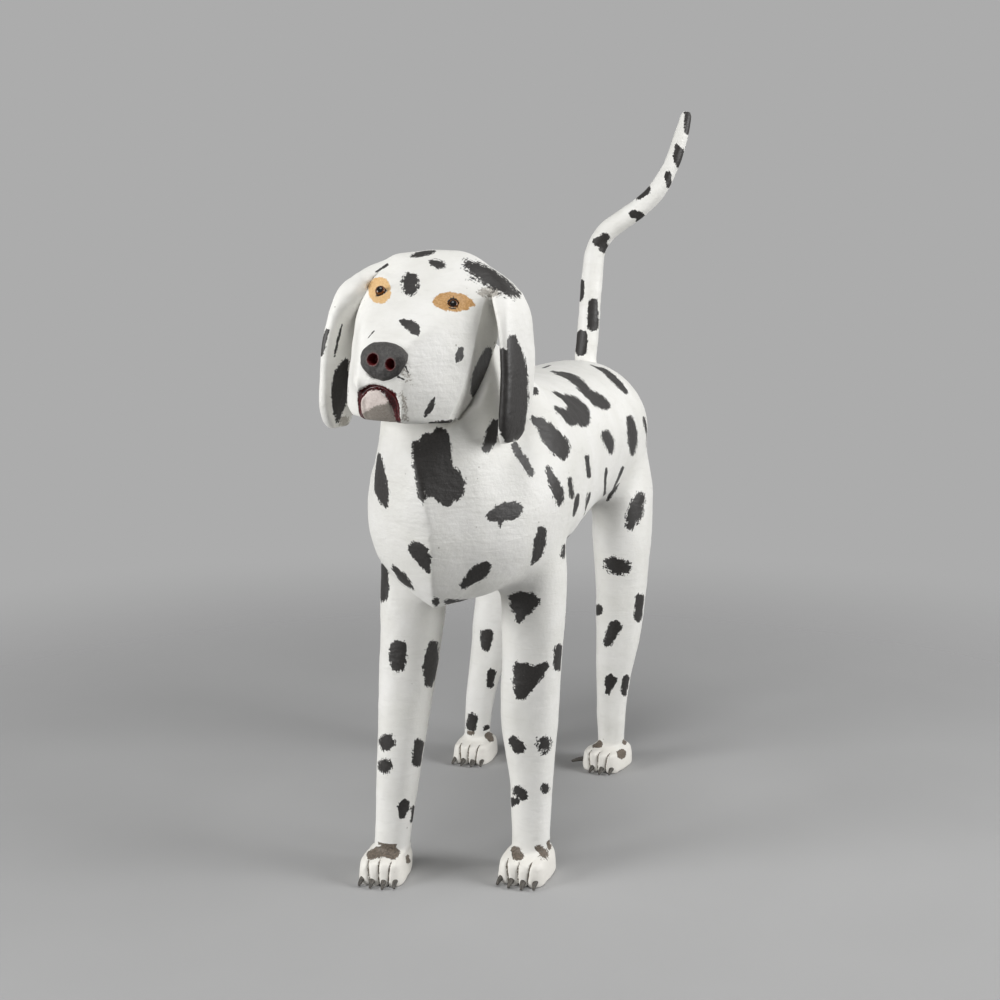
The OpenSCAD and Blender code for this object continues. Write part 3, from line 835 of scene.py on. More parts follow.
# %% [markdown]
# ## Toes
# Three saw cuts run down the front of each paw and part it into four toes, and the cuts are painted
# darker. The toes are rounded a little between the cuts. The leg runs into its paw in one sweep, so a
# paw is fused with the foot of its leg, hollowed at the instep and cut off again above it.

# %% Paws with toes
TOE_CUTS = np.array([-15.0, 0.0, 15.0])     # to the dog's left of a full paw's middle, mm
CUT_DEEP, TOE_ROUND = 2.4, 1.3      # depth of a cut, and how far the toes stand out between them, mm


def toe_cut(which, points):
    """How strongly each point of a paw lies in a cut, from 0 to 1, and where the toes are round."""
    x, y, z = in_paw(which, points).T
    lean = x * (1 + 0.010 * (24 - z))                    # the cuts spread a little towards the sole
    off = np.abs(lean[:, None] - TOE_CUTS * FEET[which][4] - FEET[which][5]).min(1)
    front = eased((-y - 24) / 8) * eased((33 - z) / 6)
    return np.exp(-(off / 1.1) ** 2) * front, (eased(off / 6) - 0.8) * front


for which in FEET:
    points, tris = fused([which + "_paw", which + "_ankle"], VOXEL["paw"])
    to_paw, to_ankle = distance_to(which + "_paw", points), distance_to(which + "_ankle", points)
    points = relaxed(points, tris, 0.5, 4)
    points = hollowed(points, tris, to_paw, to_ankle, 6, 20)
    normals = point_normals(points, tris)
    cut, toe = toe_cut(which, points)
    below = eased((ANKLE - 4 - points[:, 2]) / 12)       # above this the paw follows the leg's waves alone
    points = uneven(points, normals, BODY_WAVES)
    points = points + below[:, None] * (uneven(points, normals, PAW_WAVES) - points)
    points = points + normals * (TOE_ROUND * toe - CUT_DEEP * cut)[:, None]
    points[:, 2] = np.maximum(points[:, 2], 0)
    normals = point_normals(points, tris)
    parents, _, tris = parted(points, tris, points[:, 2] - ANKLE)
    pieces[which + "_paw"] = closed_piece(with_added(parents, points), with_added(parents, normals), tris)
print({w: len(pieces[w + "_paw"]["tris"]) for w in FEET})

# %% Tail
tail_points, tail_tris = fused(["tail"], VOXEL["tail"])
tail_points = relaxed(tail_points, tail_tris, 0.5, 4)
tail_points = uneven(tail_points, point_normals(tail_points, tail_tris), TAIL_WAVES)
pieces["tail"] = whole_piece(tail_points, tail_tris)
print("tail", len(tail_tris), "triangles")

# %% [markdown]
# ## Glass eyes
# The eyes are stock taxidermy glass: a low dome with a brown iris and a black pupil behind it. The
# profile is turned about the eye's own line of sight. Each point keeps its distance from that line,
# so that the material can draw the iris in rings.

# %% Eyes
# distance from the line of sight and height along it, mm
EYE_PROFILE = [(4.6, -5.6), (5.6, -5.0), (6.0, -2.0), (6.0, 0.4), (5.75, 1.9), (5.2, 3.2), (4.3, 4.3),
               (3.1, 5.15), (1.6, 5.7), (0.5, 5.85)]
eye_ring = {}
for name in EYES:
    at, out = eye_axis(name)
    across = np.cross(out, (0, 0, 1))
    across /= np.linalg.norm(across)
    a = turns(48)
    round_eye = np.outer(np.cos(a), across) + np.outer(np.sin(a), np.cross(out, across))
    profile = through(EYE_PROFILE, 4)
    points, faces = skin([at + r * round_eye + h * out for r, h in profile])
    tris = np.array([(f[0], f[i], f[i + 1]) for f in faces for i in range(1, len(f) - 1)])
    pieces[name] = whole_piece(points, tris)
    along = (points - at) @ out
    eye_ring[name] = np.linalg.norm(points - at - np.outer(along, out), axis=1)
print("eyes", {n: len(pieces[n]["tris"]) for n in EYES})

# %% [markdown]
# ## Dabs of black paint
# The spots were put on with a flat brush about 25 mm wide: a push, a short drag, and a ragged dry
# end. A stroke is a line of points in the photograph with the brush's half width at each, and the
# first number says how ragged its edge is, in millimetres. A ray through each point finds the place
# on the wood, so the strokes lie on the surface from every side.

# %% Strokes on the trunk and legs
BODY_DABS = [
    # breast
    (1.6, (417, 446, 5), (419, 470, 5.5), (422, 492, 4.5), (423, 503, 1.5)),
    (1.2, (427, 441, 8), (429, 470, 10), (431, 490, 7)),
    (1.2, (440, 438, 10), (441, 465, 12), (444, 488, 13), (447, 501, 6)),
    (2.0, (452, 474, 8), (457, 484, 8.5), (455, 494, 7.5)),
    (1.2, (379, 455, 2), (379, 468, 5), (380, 482, 7.5), (383, 496, 6), (386, 506, 2.5)),
    (1.4, (491, 517, 4.5), (500, 513.5, 8.5), (510, 511, 9.5), (516, 509, 7)),
    (0.8, (500, 520, 2.5), (500, 528, 0.8)),
    (1.4, (415, 548, 7), (420, 553, 8.5), (425, 562, 6), (429, 573, 1.2)),
    (1.2, (393, 567, 2), (403, 578, 4.2), (413, 589, 1)),
    (1.5, (381, 570, 7), (382, 585, 7), (382, 597, 5)),
    (1.3, (464, 585, 4), (472, 578, 6.5), (481, 571, 8), (487, 566, 5)),
    (1.3, (541.5, 530, 4), (540, 543, 6.5), (537, 555, 4.5), (531.5, 564, 1)),
    (1.0, (565, 546, 2.5), (563, 556, 2.5)), (1.5, (495, 425, 5.5), (491, 437, 6.5), (486, 449, 4)),
    (1.2, (515, 446, 4), (523, 460, 4.2), (531, 473, 3.5)), (1.2, (436, 602, 3.5)),
    (1.2, (447, 602, 2.5), (465, 602, 2.5)),
    # side
    (1.5, (547, 468, 2.5), (553, 480, 5), (558, 492, 5.5), (559, 503, 3)),
    (1.5, (533, 419, 3), (541, 424, 6), (551, 436, 9.5), (560, 447, 10), (563, 456, 4)),
    (1.6, (555, 394, 3), (563, 397, 4), (572, 404, 8), (580, 413, 9.5), (583, 420, 7)),
    (1.4, (555, 407.5, 2.2), (564, 413, 4), (572, 419, 7)),
    (1.4, (552, 371.5, 2), (563, 374.5, 4.5), (577, 382.5, 5.5), (588, 393, 4.5), (599, 401, 6.5),
     (607, 406.5, 3.5)),
    (1.0, (535, 391, 3.5)), (1.4, (606, 435, 5), (609, 442, 5.5), (611, 452, 2.5)),
    (1.3, (630, 419, 3.5), (632, 432, 5), (633, 445, 4.2), (632.5, 454, 2)),
    (1.0, (644, 418, 1.5), (647.5, 432, 2.2), (649, 446, 1.5)),
    (1.0, (591, 365, 1), (606, 372, 3), (618, 383, 3.5), (626, 392, 2)),
    (0.8, (543, 368, 1.4), (550, 365.3, 1.6)),
    (0.9, (569.5, 479, 2.3), (572, 497, 2.3)), (0.9, (587, 457, 2.2), (589, 476, 2.2)),
    (0.9, (606, 470, 2.6), (604.5, 495, 2.4)),
    (1.0, (623, 468, 1.5), (616, 484, 3.2), (607, 501, 1)),
    (0.8, (578, 495, 1.8), (576, 505, 2.6), (574, 516, 1)),
    (0.9, (590, 494, 2.3), (588, 502, 2.8), (584, 515, 1)),
    (2.4, (640, 497, 5), (635, 512, 8), (630, 525, 5)),
    (3.0, (610, 564, 6), (617, 566, 9), (625, 567, 7)),
    # front right leg
    (1.6, (398, 649, 9), (398, 664, 8)), (1.6, (433, 645, 5), (431, 666, 8), (429, 683, 4.5)),
    (1.8, (387, 742, 8)), (1.8, (385, 765.5, 7)), (1.4, (419, 745, 6), (417, 762, 5)),
    (1.0, (405, 804, 5), (403, 808, 5.5), (402, 815, 4)), (0.8, (414, 808, 2.5), (412, 821, 2)),
    # front left leg
    (1.6, (515, 599, 6.5), (524, 600, 8), (533, 601, 7)),
    (1.6, (517, 606, 7), (521, 611, 7.5), (519, 619, 4)),
    (1.6, (526, 606, 8)), (1.6, (545, 666, 4), (537, 673, 7), (528, 682, 9), (521, 692, 7.5)),
    (2.2, (517, 667, 4.5), (520, 677, 7.5), (522, 686, 8)),
    (1.8, (519, 667, 5), (526, 669, 6.5), (534, 672, 6)),
    (1.8, (514, 741, 5.5), (519, 747, 6.5)), (2.8, (544, 744, 7)), (2.0, (542, 753, 2), (547, 751, 2)),
    (1.5, (518, 791, 5.5), (523, 795, 5)), (1.0, (517, 801, 3)), (1.4, (545, 788.5, 4.5)),
    (1.4, (560, 650, 6), (558, 666, 5)), (1.0, (512.5, 802, 4)),
    # rear legs
    (1.6, (487, 635, 6.5), (486, 646, 5)), (1.2, (491.5, 673, 4.5), (490, 685, 3.5)),
    (2.2, (472.5, 719, 5.5), (471, 727, 5)), (1.4, (487, 729, 4), (488, 735, 4)),
    (1.6, (615, 627, 7), (608, 642, 5)), (1.4, (610.5, 680, 6), (608, 692, 3)),
    (1.4, (640, 598, 5), (638, 618, 4)),
    (1.2, (626, 679, 4), (624, 693, 3)), (1.2, (598, 610, 5))]
print("strokes on trunk and legs:", len(BODY_DABS))

# %% Strokes on the head, ears and tail
HEAD_DABS = [
    (1.0, (412, 256, 1.5), (422, 253.5, 3.2), (434, 250.8, 1.8)),
    (1.4, (432, 262.5, 3.3), (438, 264.5, 4.2), (443, 264.5, 2.5)),
    (2.0, (410.5, 281.5, 8.6), (410, 286.5, 8), (408.5, 292, 4)),
    (0.5, (376, 272, 0.8), (387, 265, 1.5)),
    (2.4, (466, 264, 3.5), (478, 270, 7.5), (491, 277, 8.5), (504, 285.5, 7.5), (516, 294.5, 4)),
    (5.0, (472, 276, 1), (488, 285, 2.2), (503, 291, 2)),
    (0.9, (401, 321.5, 2.2), (408, 324.5, 5), (414, 328.5, 5.5), (417.5, 333.5, 2)),
    (0.9, (461, 349, 2.5), (459.5, 355, 3.8), (457.5, 361, 1.8)),
    (0.7, (434, 399, 1.8), (430, 408, 3.2), (424.5, 416, 1)),
    (0.9, (430, 423.5, 1.8), (441, 423, 2.4), (452, 421.5, 1.8)),
    (1.0, (488.5, 351, 4), (483.5, 366, 7.5), (479, 380, 7.5), (475.5, 393, 5)),
    (0.4, (368, 338, 0.4), (374, 331, 0.5)),
    (1.2, (346, 361, 2.5), (341, 378, 8), (339.5, 400, 8), (338, 413, 4), (337.5, 422, 1.5)),
    (1.0, (327, 331, 2.3), (323.5, 343, 3), (321.5, 354, 2.3)),
    (0.5, (342, 325, 0.8), (337.5, 342, 1.3), (334.5, 356, 1.0)),
    (1.4, (512.5, 339, 4), (514, 352, 8), (516, 370, 11), (517, 402, 11), (516, 432, 8.5)),
    (1.4, (506, 356, 6), (507, 395, 6), (509, 434, 7)),
    (1.0, (502, 354, 6.5), (502, 380, 7.5), (502.5, 402, 7.5)),
    (1.4, (502.5, 402, 7.5), (505, 424, 7.5), (509, 437, 6.5)),
    (0.4, (402.5, 361, 0.6), (405, 366, 0.9), (408.5, 373, 0.5)),
    (0.5, (398, 377, 0.9), (404, 379.5, 0.8)),
    (0.6, (452.8, 303.3, 5.7))]
TAIL_DABS = [
    (1.2, (688, 115, 4), (688.5, 131, 4)), (1.2, (676.5, 146, 2), (680, 157, 7), (678, 166, 2)),
    (1.0, (663, 160, 3), (667, 158, 3)), (1.0, (668, 175, 3.8), (668.5, 185, 3)),
    (1.2, (639, 196, 4), (647, 190, 4)),
    (1.2, (633, 214, 4), (641, 217, 4), (634, 225, 3)), (1.4, (597, 242, 4.5), (605, 238, 5)),
    (1.4, (604, 247, 5)),
    (1.2, (593, 303, 5), (593, 325, 6)), (1.2, (582, 336, 6), (581, 350, 6)),
    (1.0, (581, 283, 4), (580, 297, 4))]
print("strokes on head and ears:", len(HEAD_DABS), "and on the tail:", len(TAIL_DABS))

# %% Strokes of other paints
# worn or thin grey paint, with the same grey as painted shade beside the nose and down the muzzle by
# the mouth, the ochre round the right eye, the browner one round the left, red that strayed from the
# mouth, and on the paws the dabs whose black has rubbed down to a brown film
# the first two strokes are painted shade beside the nose and the mouth, the rest worn paint
WORN_AND_SHADE = [(5.0, (404, 366, 0.8), (408, 380, 0.8)), (3.2, (402, 393, 1.2), (404.5, 405, 1.8), (405, 418, 1.8)),
        (2.0, (344, 421, 5), (346, 429, 5)),
        (1.2, (500.5, 384, 4), (501.5, 395, 4.5)), (2.5, (502, 408, 3), (504, 430, 4)),
        (2.5, (484, 292, 5), (495, 291, 6)), (2.0, (497, 344, 2), (497, 352, 3))]
OCHRE = [(0.8, (379.5, 288.5, 11.3), (379.7, 292.5, 11))]
TAN = [(1.1, (433.5, 302.5, 1.5), (442, 301, 7.5), (453, 302.3, 10), (464, 303, 7.5), (473.5, 305, 1.5))]
STRAY_RED = [(1.6, (388, 391, 2.4), (393, 395, 3.0))]
PAW_DABS = {
    "front_right": [(1.0, (381, 842, 3), (392, 845, 5)),
                    (1.0, (371, 855, 4.5), (383, 851, 6), (393, 853, 6.5)),
                    (0.8, (407.5, 857, 2), (408, 861, 2.5))],
    "front_left": [(1.2, (516, 851, 5), (518, 855, 6)), (1.8, (538, 848, 3), (543, 853, 5), (545, 856, 3)),
                   (0.8, (549.3, 843, 3), (549.5, 848, 2))],
    "rear_left": [(0.8, (594, 746, 2), (599, 744, 4)), (0.8, (621.5, 754, 4.5)), (0.6, (624.5, 742, 2.5))],
    "rear_right": [(1.2, (471, 731, 4)), (1.0, (489, 736, 4.5), (491, 739, 3))]}
print("strokes on paws:", {which: len(strokes) for which, strokes in PAW_DABS.items()})

# %% Put strokes on the wood
# longest step along a stroke, how far it may be moved to meet the wood, least half width, in pixels
STROKE_STEP, NUDGES, LEAST_HALF = 5, 14, 0.3
NO_PAINT = 9.0                      # stands for a place that no stroke comes near
BRISTLE_APART = 7.3                 # sets the bristle marks of one stroke apart from those of the next


def placed(stroke, tree, towards):
    """A stroke laid on a skin: how ragged it is, its points, half widths and outward directions, and the
    line as it was drawn in the photograph."""
    ragged, *line = stroke
    line = np.array(line, float)
    if len(line) == 1:
        line = np.vstack([line[0] - (0, 0.5, 0), line[0] + (0, 0.5, 0)])
    longest = np.linalg.norm(np.diff(line[:, :2], axis=0), axis=1).max()
    steps = max(1, int(np.ceil(longest / STROKE_STEP)))
    found = []
    for x, y, half in through(line, steps):
        for nudge in range(NUDGES):
            step = np.array(towards) - (x, y)
            at = np.array((x, y)) + nudge * step / max(np.linalg.norm(step), 1)
            hit, normal, _, depth = tree.ray_cast(EYE_POINT, photo_ray(*at))
            if hit is not None:
                half = max(half, LEAST_HALF)
                found.append((*hit, half * depth / FOCAL, *normal, x, y, half))
                break
    found = np.array(found).reshape(-1, 10)
    return ragged, found[:, :3], found[:, 3], found[:, 4:7], found[:, 7:]


def to_step(points, start, end):
    """Distance from points to a straight step, and how far along it the nearest place is, from 0 to 1."""
    step = end - start
    t = np.clip((points - start) @ step / max(step @ step, 1e-9), 0, 1)
    return np.linalg.norm(points - start - np.outer(t, step), axis=1), t


def paint_field(points, normals, strokes):
    """At each point the distance to the nearest stroke's edge, in units of its raggedness and below zero
    inside it, and where the point lies along and across that stroke. A stroke that was drawn in the
    photograph is measured there where the wood faces the camera, and on the wood where it turns away."""
    field = np.full(len(points), NO_PAINT)
    brush = np.zeros((len(points), 3))
    pixels, far = in_photo(points)
    view = EYE_POINT - points
    towards = (normals * view).sum(1) / np.linalg.norm(view, axis=1)
    for number, (ragged, line, half, facing, drawn) in enumerate(strokes):
        reach = 4 * half.max() + NO_PAINT * ragged
        near = np.flatnonzero(((points > line.min(0) - reach) & (points < line.max(0) + reach)).all(1))
        flat = eased((towards[near] - 0.05) / 0.15)
        run = 0.0
        for k in range(len(line) - 1):
            away, t = to_step(points[near], line[k], line[k + 1])
            look = facing[k] + np.outer(t, facing[k + 1] - facing[k])
            turned = np.maximum(0, 0.25 - (normals[near] * look).sum(1))
            edge = away - half[k] - t * (half[k + 1] - half[k]) + 30 * turned
            if drawn is not None:
                off, u = to_step(pixels[near], drawn[k, :2], drawn[k + 1, :2])
                seen = (off - drawn[k, 2] - u * (drawn[k + 1, 2] - drawn[k, 2])) * far[near] / FOCAL
                seen += np.maximum(0, away - 4 * half[k] - 12)
                edge = edge + flat * (seen - edge)
            value = edge / ragged
            better = value < field[near]
            field[near[better]] = value[better]
            step = (line[k + 1] - line[k]) / max(np.linalg.norm(line[k + 1] - line[k]), 1e-6)
            place = points[near] - line[k]
            brush[near[better]] = np.column_stack([run + place @ step, place @ np.cross(facing[k], step),
                                                   np.full(len(near), number * BRISTLE_APART)])[better]
            run += np.linalg.norm(line[k + 1] - line[k])
    return field, brush


# %% Lay the strokes that the photograph shows
skins = {"body": (body_points, body_tris), "head": (head_points, head_tris),
         "tail": (tail_points, tail_tris)}
for which in FEET:
    skins[which] = pieces[which + "_paw"]["points"], pieces[which + "_paw"]["tris"]
trees = {group: BVHTree.FromPolygons([tuple(p) for p in points], [tuple(t) for t in tris])
         for group, (points, tris) in skins.items()}
# a place in the photograph well inside each skin: a ray that misses the skin is moved towards it
GROUP_MIDDLE = {"body": (510, 520), "head": (430, 340), "tail": (605, 250), "front_left": (527, 865),
                "front_right": (388, 865), "rear_left": (608, 755), "rear_right": (476, 745)}


def lay(strokes, group):
    return [placed(stroke, trees[group], GROUP_MIDDLE[group]) for stroke in strokes]


laid = {group: [d for d in lay(strokes, group) if len(d[1]) > 1]
        for group, strokes in (("body", BODY_DABS), ("head", HEAD_DABS), ("tail", TAIL_DABS))}
print({g: len(strokes) for g, strokes in laid.items()})

# %% [markdown]
# ## Dabs on the sides that the photograph doesn't show
# The far side and the back were surely dabbed too. Points that the camera can't see are drawn in a
# fixed random order, and one that is far enough from all the others gets a stroke of the same kind:
# mostly upright, up to about 45 mm long, with a wide middle.

# %% Strokes out of sight
TRIES = 6000                        # places drawn on each skin


def out_of_sight(points, normals, tree):
    view = EYE_POINT - points
    view /= np.linalg.norm(view, axis=1)[:, None]
    faces_away = (normals * view).sum(1) < 0.06
    return np.array([f or tree.ray_cast(Vector(p + n * 2), Vector(v))[0] is not None
                     for p, n, v, f in zip(points, normals, view, faces_away)])


def more_dabs(group, spacing, size, seed, count):
    """Strokes on the unseen places of a skin: how far apart they are and their half width, in mm, the
    seed of the draws and the most that are made."""
    (points, tris), tree = skins[group], trees[group]
    draw = np.random.default_rng(seed)
    normals = point_normals(points, tris)
    order = draw.permutation(len(points))[:TRIES]
    order = order[(normals[order, 2] > -0.75)]
    order = order[out_of_sight(points[order], normals[order], tree)]
    centres = [p for d in laid[group] for p in d[1]]
    made = []
    for i in order:
        room = spacing * draw.uniform(0.75, 1.35)
        if len(made) >= count or np.linalg.norm(np.array(centres) - points[i], axis=1).min() < room:
            continue
        lean = np.array([draw.normal(0, 0.5), draw.normal(0, 0.5), 1.0])
        lean -= normals[i] * (lean @ normals[i])
        lean /= max(np.linalg.norm(lean), 1e-6)
        half = size * draw.uniform(0.5, 1.1)
        length = half * draw.uniform(0.6, 4.2)
        shape = np.array([draw.uniform(0.3, 0.8), 0.95, 1, 0.9, draw.uniform(0.1, 0.6)])
        ragged = draw.uniform(1.1, 2.0)
        side = np.cross(normals[i], lean)
        spots = [points[i] + lean * length * t + side * half * across
                 for across in (0, -1.5, 1.5) for t in np.linspace(-0.5, 0.5, 5)]
        found = [tree.find_nearest(Vector(spot))[:2] for spot in spots]
        at, facing = np.array([f[0] for f in found]), np.array([f[1] for f in found])
        if out_of_sight(at, facing, tree).all():
            made.append((ragged, at[:5], half * shape, facing[:5], None))
            centres += list(at[:5])
    return made


laid["body"] += more_dabs("body", 46, 10, 11, 90)
at_back = more_dabs("head", 40, 9, 12, 26)
laid["head"] += [d for d in at_back if in_head(d[1])[1].max() < 20]     # none in the mouth or the eye holes
laid["tail"] += more_dabs("tail", 34, 5.5, 13, 14)
print("with those out of sight:", {g: len(strokes) for g, strokes in laid.items()})

# %% [markdown]
# ## Paints and other finishes
# Each finish starts from what it is on the real dog. Colours are written as sRGB hex values, the way
# a paint card gives them, and turned to linear light by one function. Patterns are set in real
# millimetres. The marks that follow the strokes come from numbers stored on the points: `dab`,
# `ochre`, `red`, the grey of worn paint and painted shade, and others like them say how far a point
# lies from the edge of that paint, and `brush` says where it lies along and across the stroke, so
# that bristle lines run with the brush.

# %% Colours and nodes
def paint(code):
    """Linear colour from a hex value."""
    part = [int(code[i:i + 2], 16) / 255 for i in (1, 3, 5)]
    return (*[c / 12.92 if c <= 0.04045 else ((c + 0.055) / 1.055) ** 2.4 for c in part], 1)


def put(tree, kind, links=None, **settings):
    """Adds a node: settings are its own properties, links gives inputs a value or another node's output."""
    made = tree.nodes.new(kind)
    for key, value in settings.items():
        setattr(made, key, value)
    feed(tree, made, links or {})
    return made


def feed(tree, node, links):
    """Gives inputs of a node a value or another node's output."""
    for key, value in links.items():
        if isinstance(value, bpy.types.NodeSocket):
            tree.links.new(value, node.inputs[key])
        else:
            node.inputs[key].default_value = value


def per_mm(size):
    """Scale of a pattern whose features are this many millimetres wide, for coordinates in metres."""
    return 1 / (size * MM)


def new_finish(name):
    material = bpy.data.materials.new(name)
    material.use_nodes = True
    tree = material.node_tree
    return material, tree, tree.nodes["Principled BSDF"]


def coated(tree, colour, coats):
    """Coats laid over a colour, one after the other: a pattern, where on it the coat starts and where
    it is full, how much it hides at most, and its own colour."""
    for pattern, start, full, most, code in coats:
        cover = put(tree, "ShaderNodeMapRange", {
            "Value": pattern, "From Min": start, "From Max": full, "To Max": most}).outputs[0]
        colour = put(tree, "ShaderNodeMix", {0: cover, 6: colour, 7: paint(code)},
                     data_type="RGBA").outputs[2]
    return colour


# %% House paint on carved wood
# White oil paint brushed over rasped wood: off-white, eggshell gloss, with fine brush lines, a little
# grime in specks, and dabs of thinned black whose dry edges break up on the brush lines below.
CLOUD_MM, SPECK_MM, CLOT_MM, GRAIN_MM = 60, 17, 7, 2.1
LINE_MM = (24, 24, 5.5)             # length of a brush line's marks along x, y and z
BRISTLE_PER_MM = (0.07, 0.5, 1)     # along the stroke, across it, and from one stroke to the next


def house_paint(name, layers, below=None):
    """layers: name of the number on the points, two colours that it wavers between, and roughness.
    below: height in metres where the paint turns cream, and the height above which it is white."""
    material, tree, shader = new_finish(name)
    place = put(tree, "ShaderNodeTexCoord").outputs["Object"]
    lines = put(tree, "ShaderNodeTexNoise", {"Scale": 1, "Detail": 2, "Vector": put(
        tree, "ShaderNodeMapping", {"Vector": place, "Scale": [
            per_mm(mark) for mark in LINE_MM]}).outputs[0], "Distortion": 0.6}).outputs["Fac"]
    cloud, clot, grain = [put(tree, "ShaderNodeTexNoise", {
        "Vector": place, "Scale": per_mm(size), "Detail": detail, "Roughness": 0.62}).outputs["Fac"]
        for size, detail in ((CLOUD_MM, 4), (CLOT_MM, 1), (GRAIN_MM, 3))]
    colour = coated(tree, paint("#F0EFEB"), [(cloud, 0.35, 0.68, 1, "#E6E5DF")])
    if below:
        height = put(tree, "ShaderNodeSeparateXYZ", {0: place}).outputs[2]
        wander = put(tree, "ShaderNodeMath", {0: clot, 1: 0.012, 2: height},
                     operation="MULTIPLY_ADD").outputs[0]
        colour = coated(tree, colour, [(wander, below[1], below[0], 1, "#ECE9E2")])
    cells = put(tree, "ShaderNodeTexVoronoi", {"Vector": place, "Scale": per_mm(SPECK_MM), "Randomness": 1})
    chosen = put(tree, "ShaderNodeSeparateColor", {0: cells.outputs["Color"]})
    size = put(tree, "ShaderNodeMapRange", {"Value": chosen.outputs[0], "From Min": 0.62, "From Max": 1,
                                            "To Min": 0.0, "To Max": 0.085}).outputs[0]
    speck = put(tree, "ShaderNodeMath", {0: size, 1: cells.outputs["Distance"]},
                operation="SUBTRACT").outputs[0]
    colour = coated(tree, colour, [(lines, 0.56, 0.78, 0.10, "#A9A59C"), (speck, 0, 0.02, 0.55, "#7D766B")])

    brush = put(tree, "ShaderNodeAttribute", attribute_name="brush").outputs["Vector"]
    bristle = put(tree, "ShaderNodeTexNoise", {"Scale": 1, "Detail": 2, "Vector": put(
        tree, "ShaderNodeMapping", {"Vector": brush, "Scale": BRISTLE_PER_MM}).outputs[0]}).outputs["Fac"]
    ragged = -6.2                   # the middles of the three patterns, by their weights
    for pattern, weight in ((grain, 5.4), (clot, 3.2), (bristle, 3.8)):
        ragged = put(tree, "ShaderNodeMath", {0: pattern, 1: weight, 2: ragged},
                     operation="MULTIPLY_ADD").outputs[0]
    rough = 0.5
    relief = put(tree, "ShaderNodeMath", {0: clot, 1: 0.9, 2: lines}, operation="MULTIPLY_ADD").outputs[0]
    for attribute, dark, light, gloss in layers:
        edge = put(tree, "ShaderNodeAttribute", attribute_name=attribute).outputs["Fac"]
        edge = put(tree, "ShaderNodeMath", {0: edge, 1: ragged}, operation="ADD").outputs[0]
        cover = put(tree, "ShaderNodeMapRange", {
            "Value": edge, "From Min": 0.25, "From Max": -0.25}).outputs[0]
        own = coated(tree, paint(dark), [(grain, 0.34, 0.66, 1, light)])
        colour = put(tree, "ShaderNodeMix", {0: cover, 6: colour, 7: own}, data_type="RGBA").outputs[2]
        rough = put(tree, "ShaderNodeMix", {0: cover, 2: rough, 3: gloss}).outputs[0]
        relief = put(tree, "ShaderNodeMath", {0: cover, 1: 0.25, 2: relief},
                     operation="MULTIPLY_ADD").outputs[0]
    relief = put(tree, "ShaderNodeMath", {0: grain, 1: 0.45, 2: relief},
                 operation="MULTIPLY_ADD").outputs[0]
    bump = put(tree, "ShaderNodeBump", {
        "Height": relief, "Strength": 0.46, "Distance": 1.1 * MM}).outputs[0]
    feed(tree, shader, {"Base Color": colour, "Roughness": rough, "Normal": bump, "IOR": 1.48})
    return material


BLACK = ("dab", "#1C1A18", "#2B2826", 0.5)
# grey for worn paint, and for the painted shade beside the nose and the mouth
GREY_WEAR_AND_SHADE = ("worn_and_shade", "#9C978F", "#C6C2BA", 0.6)
body_paint = house_paint("white_house_paint", [BLACK])
head_paint = house_paint("white_house_paint_face", [
    GREY_WEAR_AND_SHADE, ("ochre", "#D0A56C", "#EAC794", 0.5), ("tan", "#A97C43", "#CDA26C", 0.5),
    # the pale chin inside the arch of the mouth, and painted shade under it
    ("pale", "#CFC2BB", "#DED2CB", 0.5), ("shade", "#918980", "#A69E95", 0.55),
    BLACK, ("red", "#2A0709", "#5A1012", 0.25)])
paw_paint = house_paint("cream_house_paint", [
    ("dab", "#4E473F", "#7E7265", 0.55), ("groove", "#5C544A", "#8A8174", 0.7)], below=(0.036, 0.048))
print("paints:", body_paint.name, head_paint.name, paw_paint.name)

# %% Nose enamel and glass
# Charcoal enamel on the nose: thick, uneven, slightly glossy, with dark red brushed into the nostrils.
nose_paint, tree, shader = new_finish("charcoal_enamel")
place = put(tree, "ShaderNodeTexCoord").outputs["Object"]
mottle = put(tree, "ShaderNodeTexNoise", {
    "Vector": place, "Scale": per_mm(3), "Detail": 5, "Roughness": 0.8}).outputs["Fac"]
pit = put(tree, "ShaderNodeAttribute", attribute_name="pit").outputs["Fac"]
pit = put(tree, "ShaderNodeMath", {0: mottle, 1: 2.4, 2: pit}, operation="MULTIPLY_ADD").outputs[0]
grey = coated(tree, paint("#1E1D1C"), [
    (mottle, 0.35, 0.68, 1, "#4E4B48"), (pit, 9.0, 8.0, 0.45, "#7A5552"), (pit, 7.7, 7.1, 1, "#6A171C")])
relief = put(tree, "ShaderNodeBump", {"Height": mottle, "Strength": 0.7, "Distance": 1.6 * MM}).outputs[0]
feed(tree, shader, {"Base Color": grey, "Normal": relief, "Roughness": 0.42})

# Glass: black pupil, brown iris darker towards its rim, all under a polished clear dome.
glass, tree, shader = new_finish("taxidermy_glass")
ring = put(tree, "ShaderNodeAttribute", attribute_name="ring").outputs["Fac"]
place = put(tree, "ShaderNodeTexCoord").outputs["Object"]
fibre = put(tree, "ShaderNodeTexNoise", {"Vector": place, "Scale": per_mm(1.2), "Detail": 2}).outputs["Fac"]
iris = coated(tree, paint("#41230D"), [
    (fibre, 0, 1, 1, "#94581C"), (ring, 4.9, 5.6, 1, "#1C120B"), (ring, 4.1, 3.6, 1, "#0B0908")])
feed(tree, shader, {"Base Color": iris, "Roughness": 0.05, "IOR": 1.5, "Specular IOR Level": 0.35})
print("finishes:", nose_paint.name, glass.name)

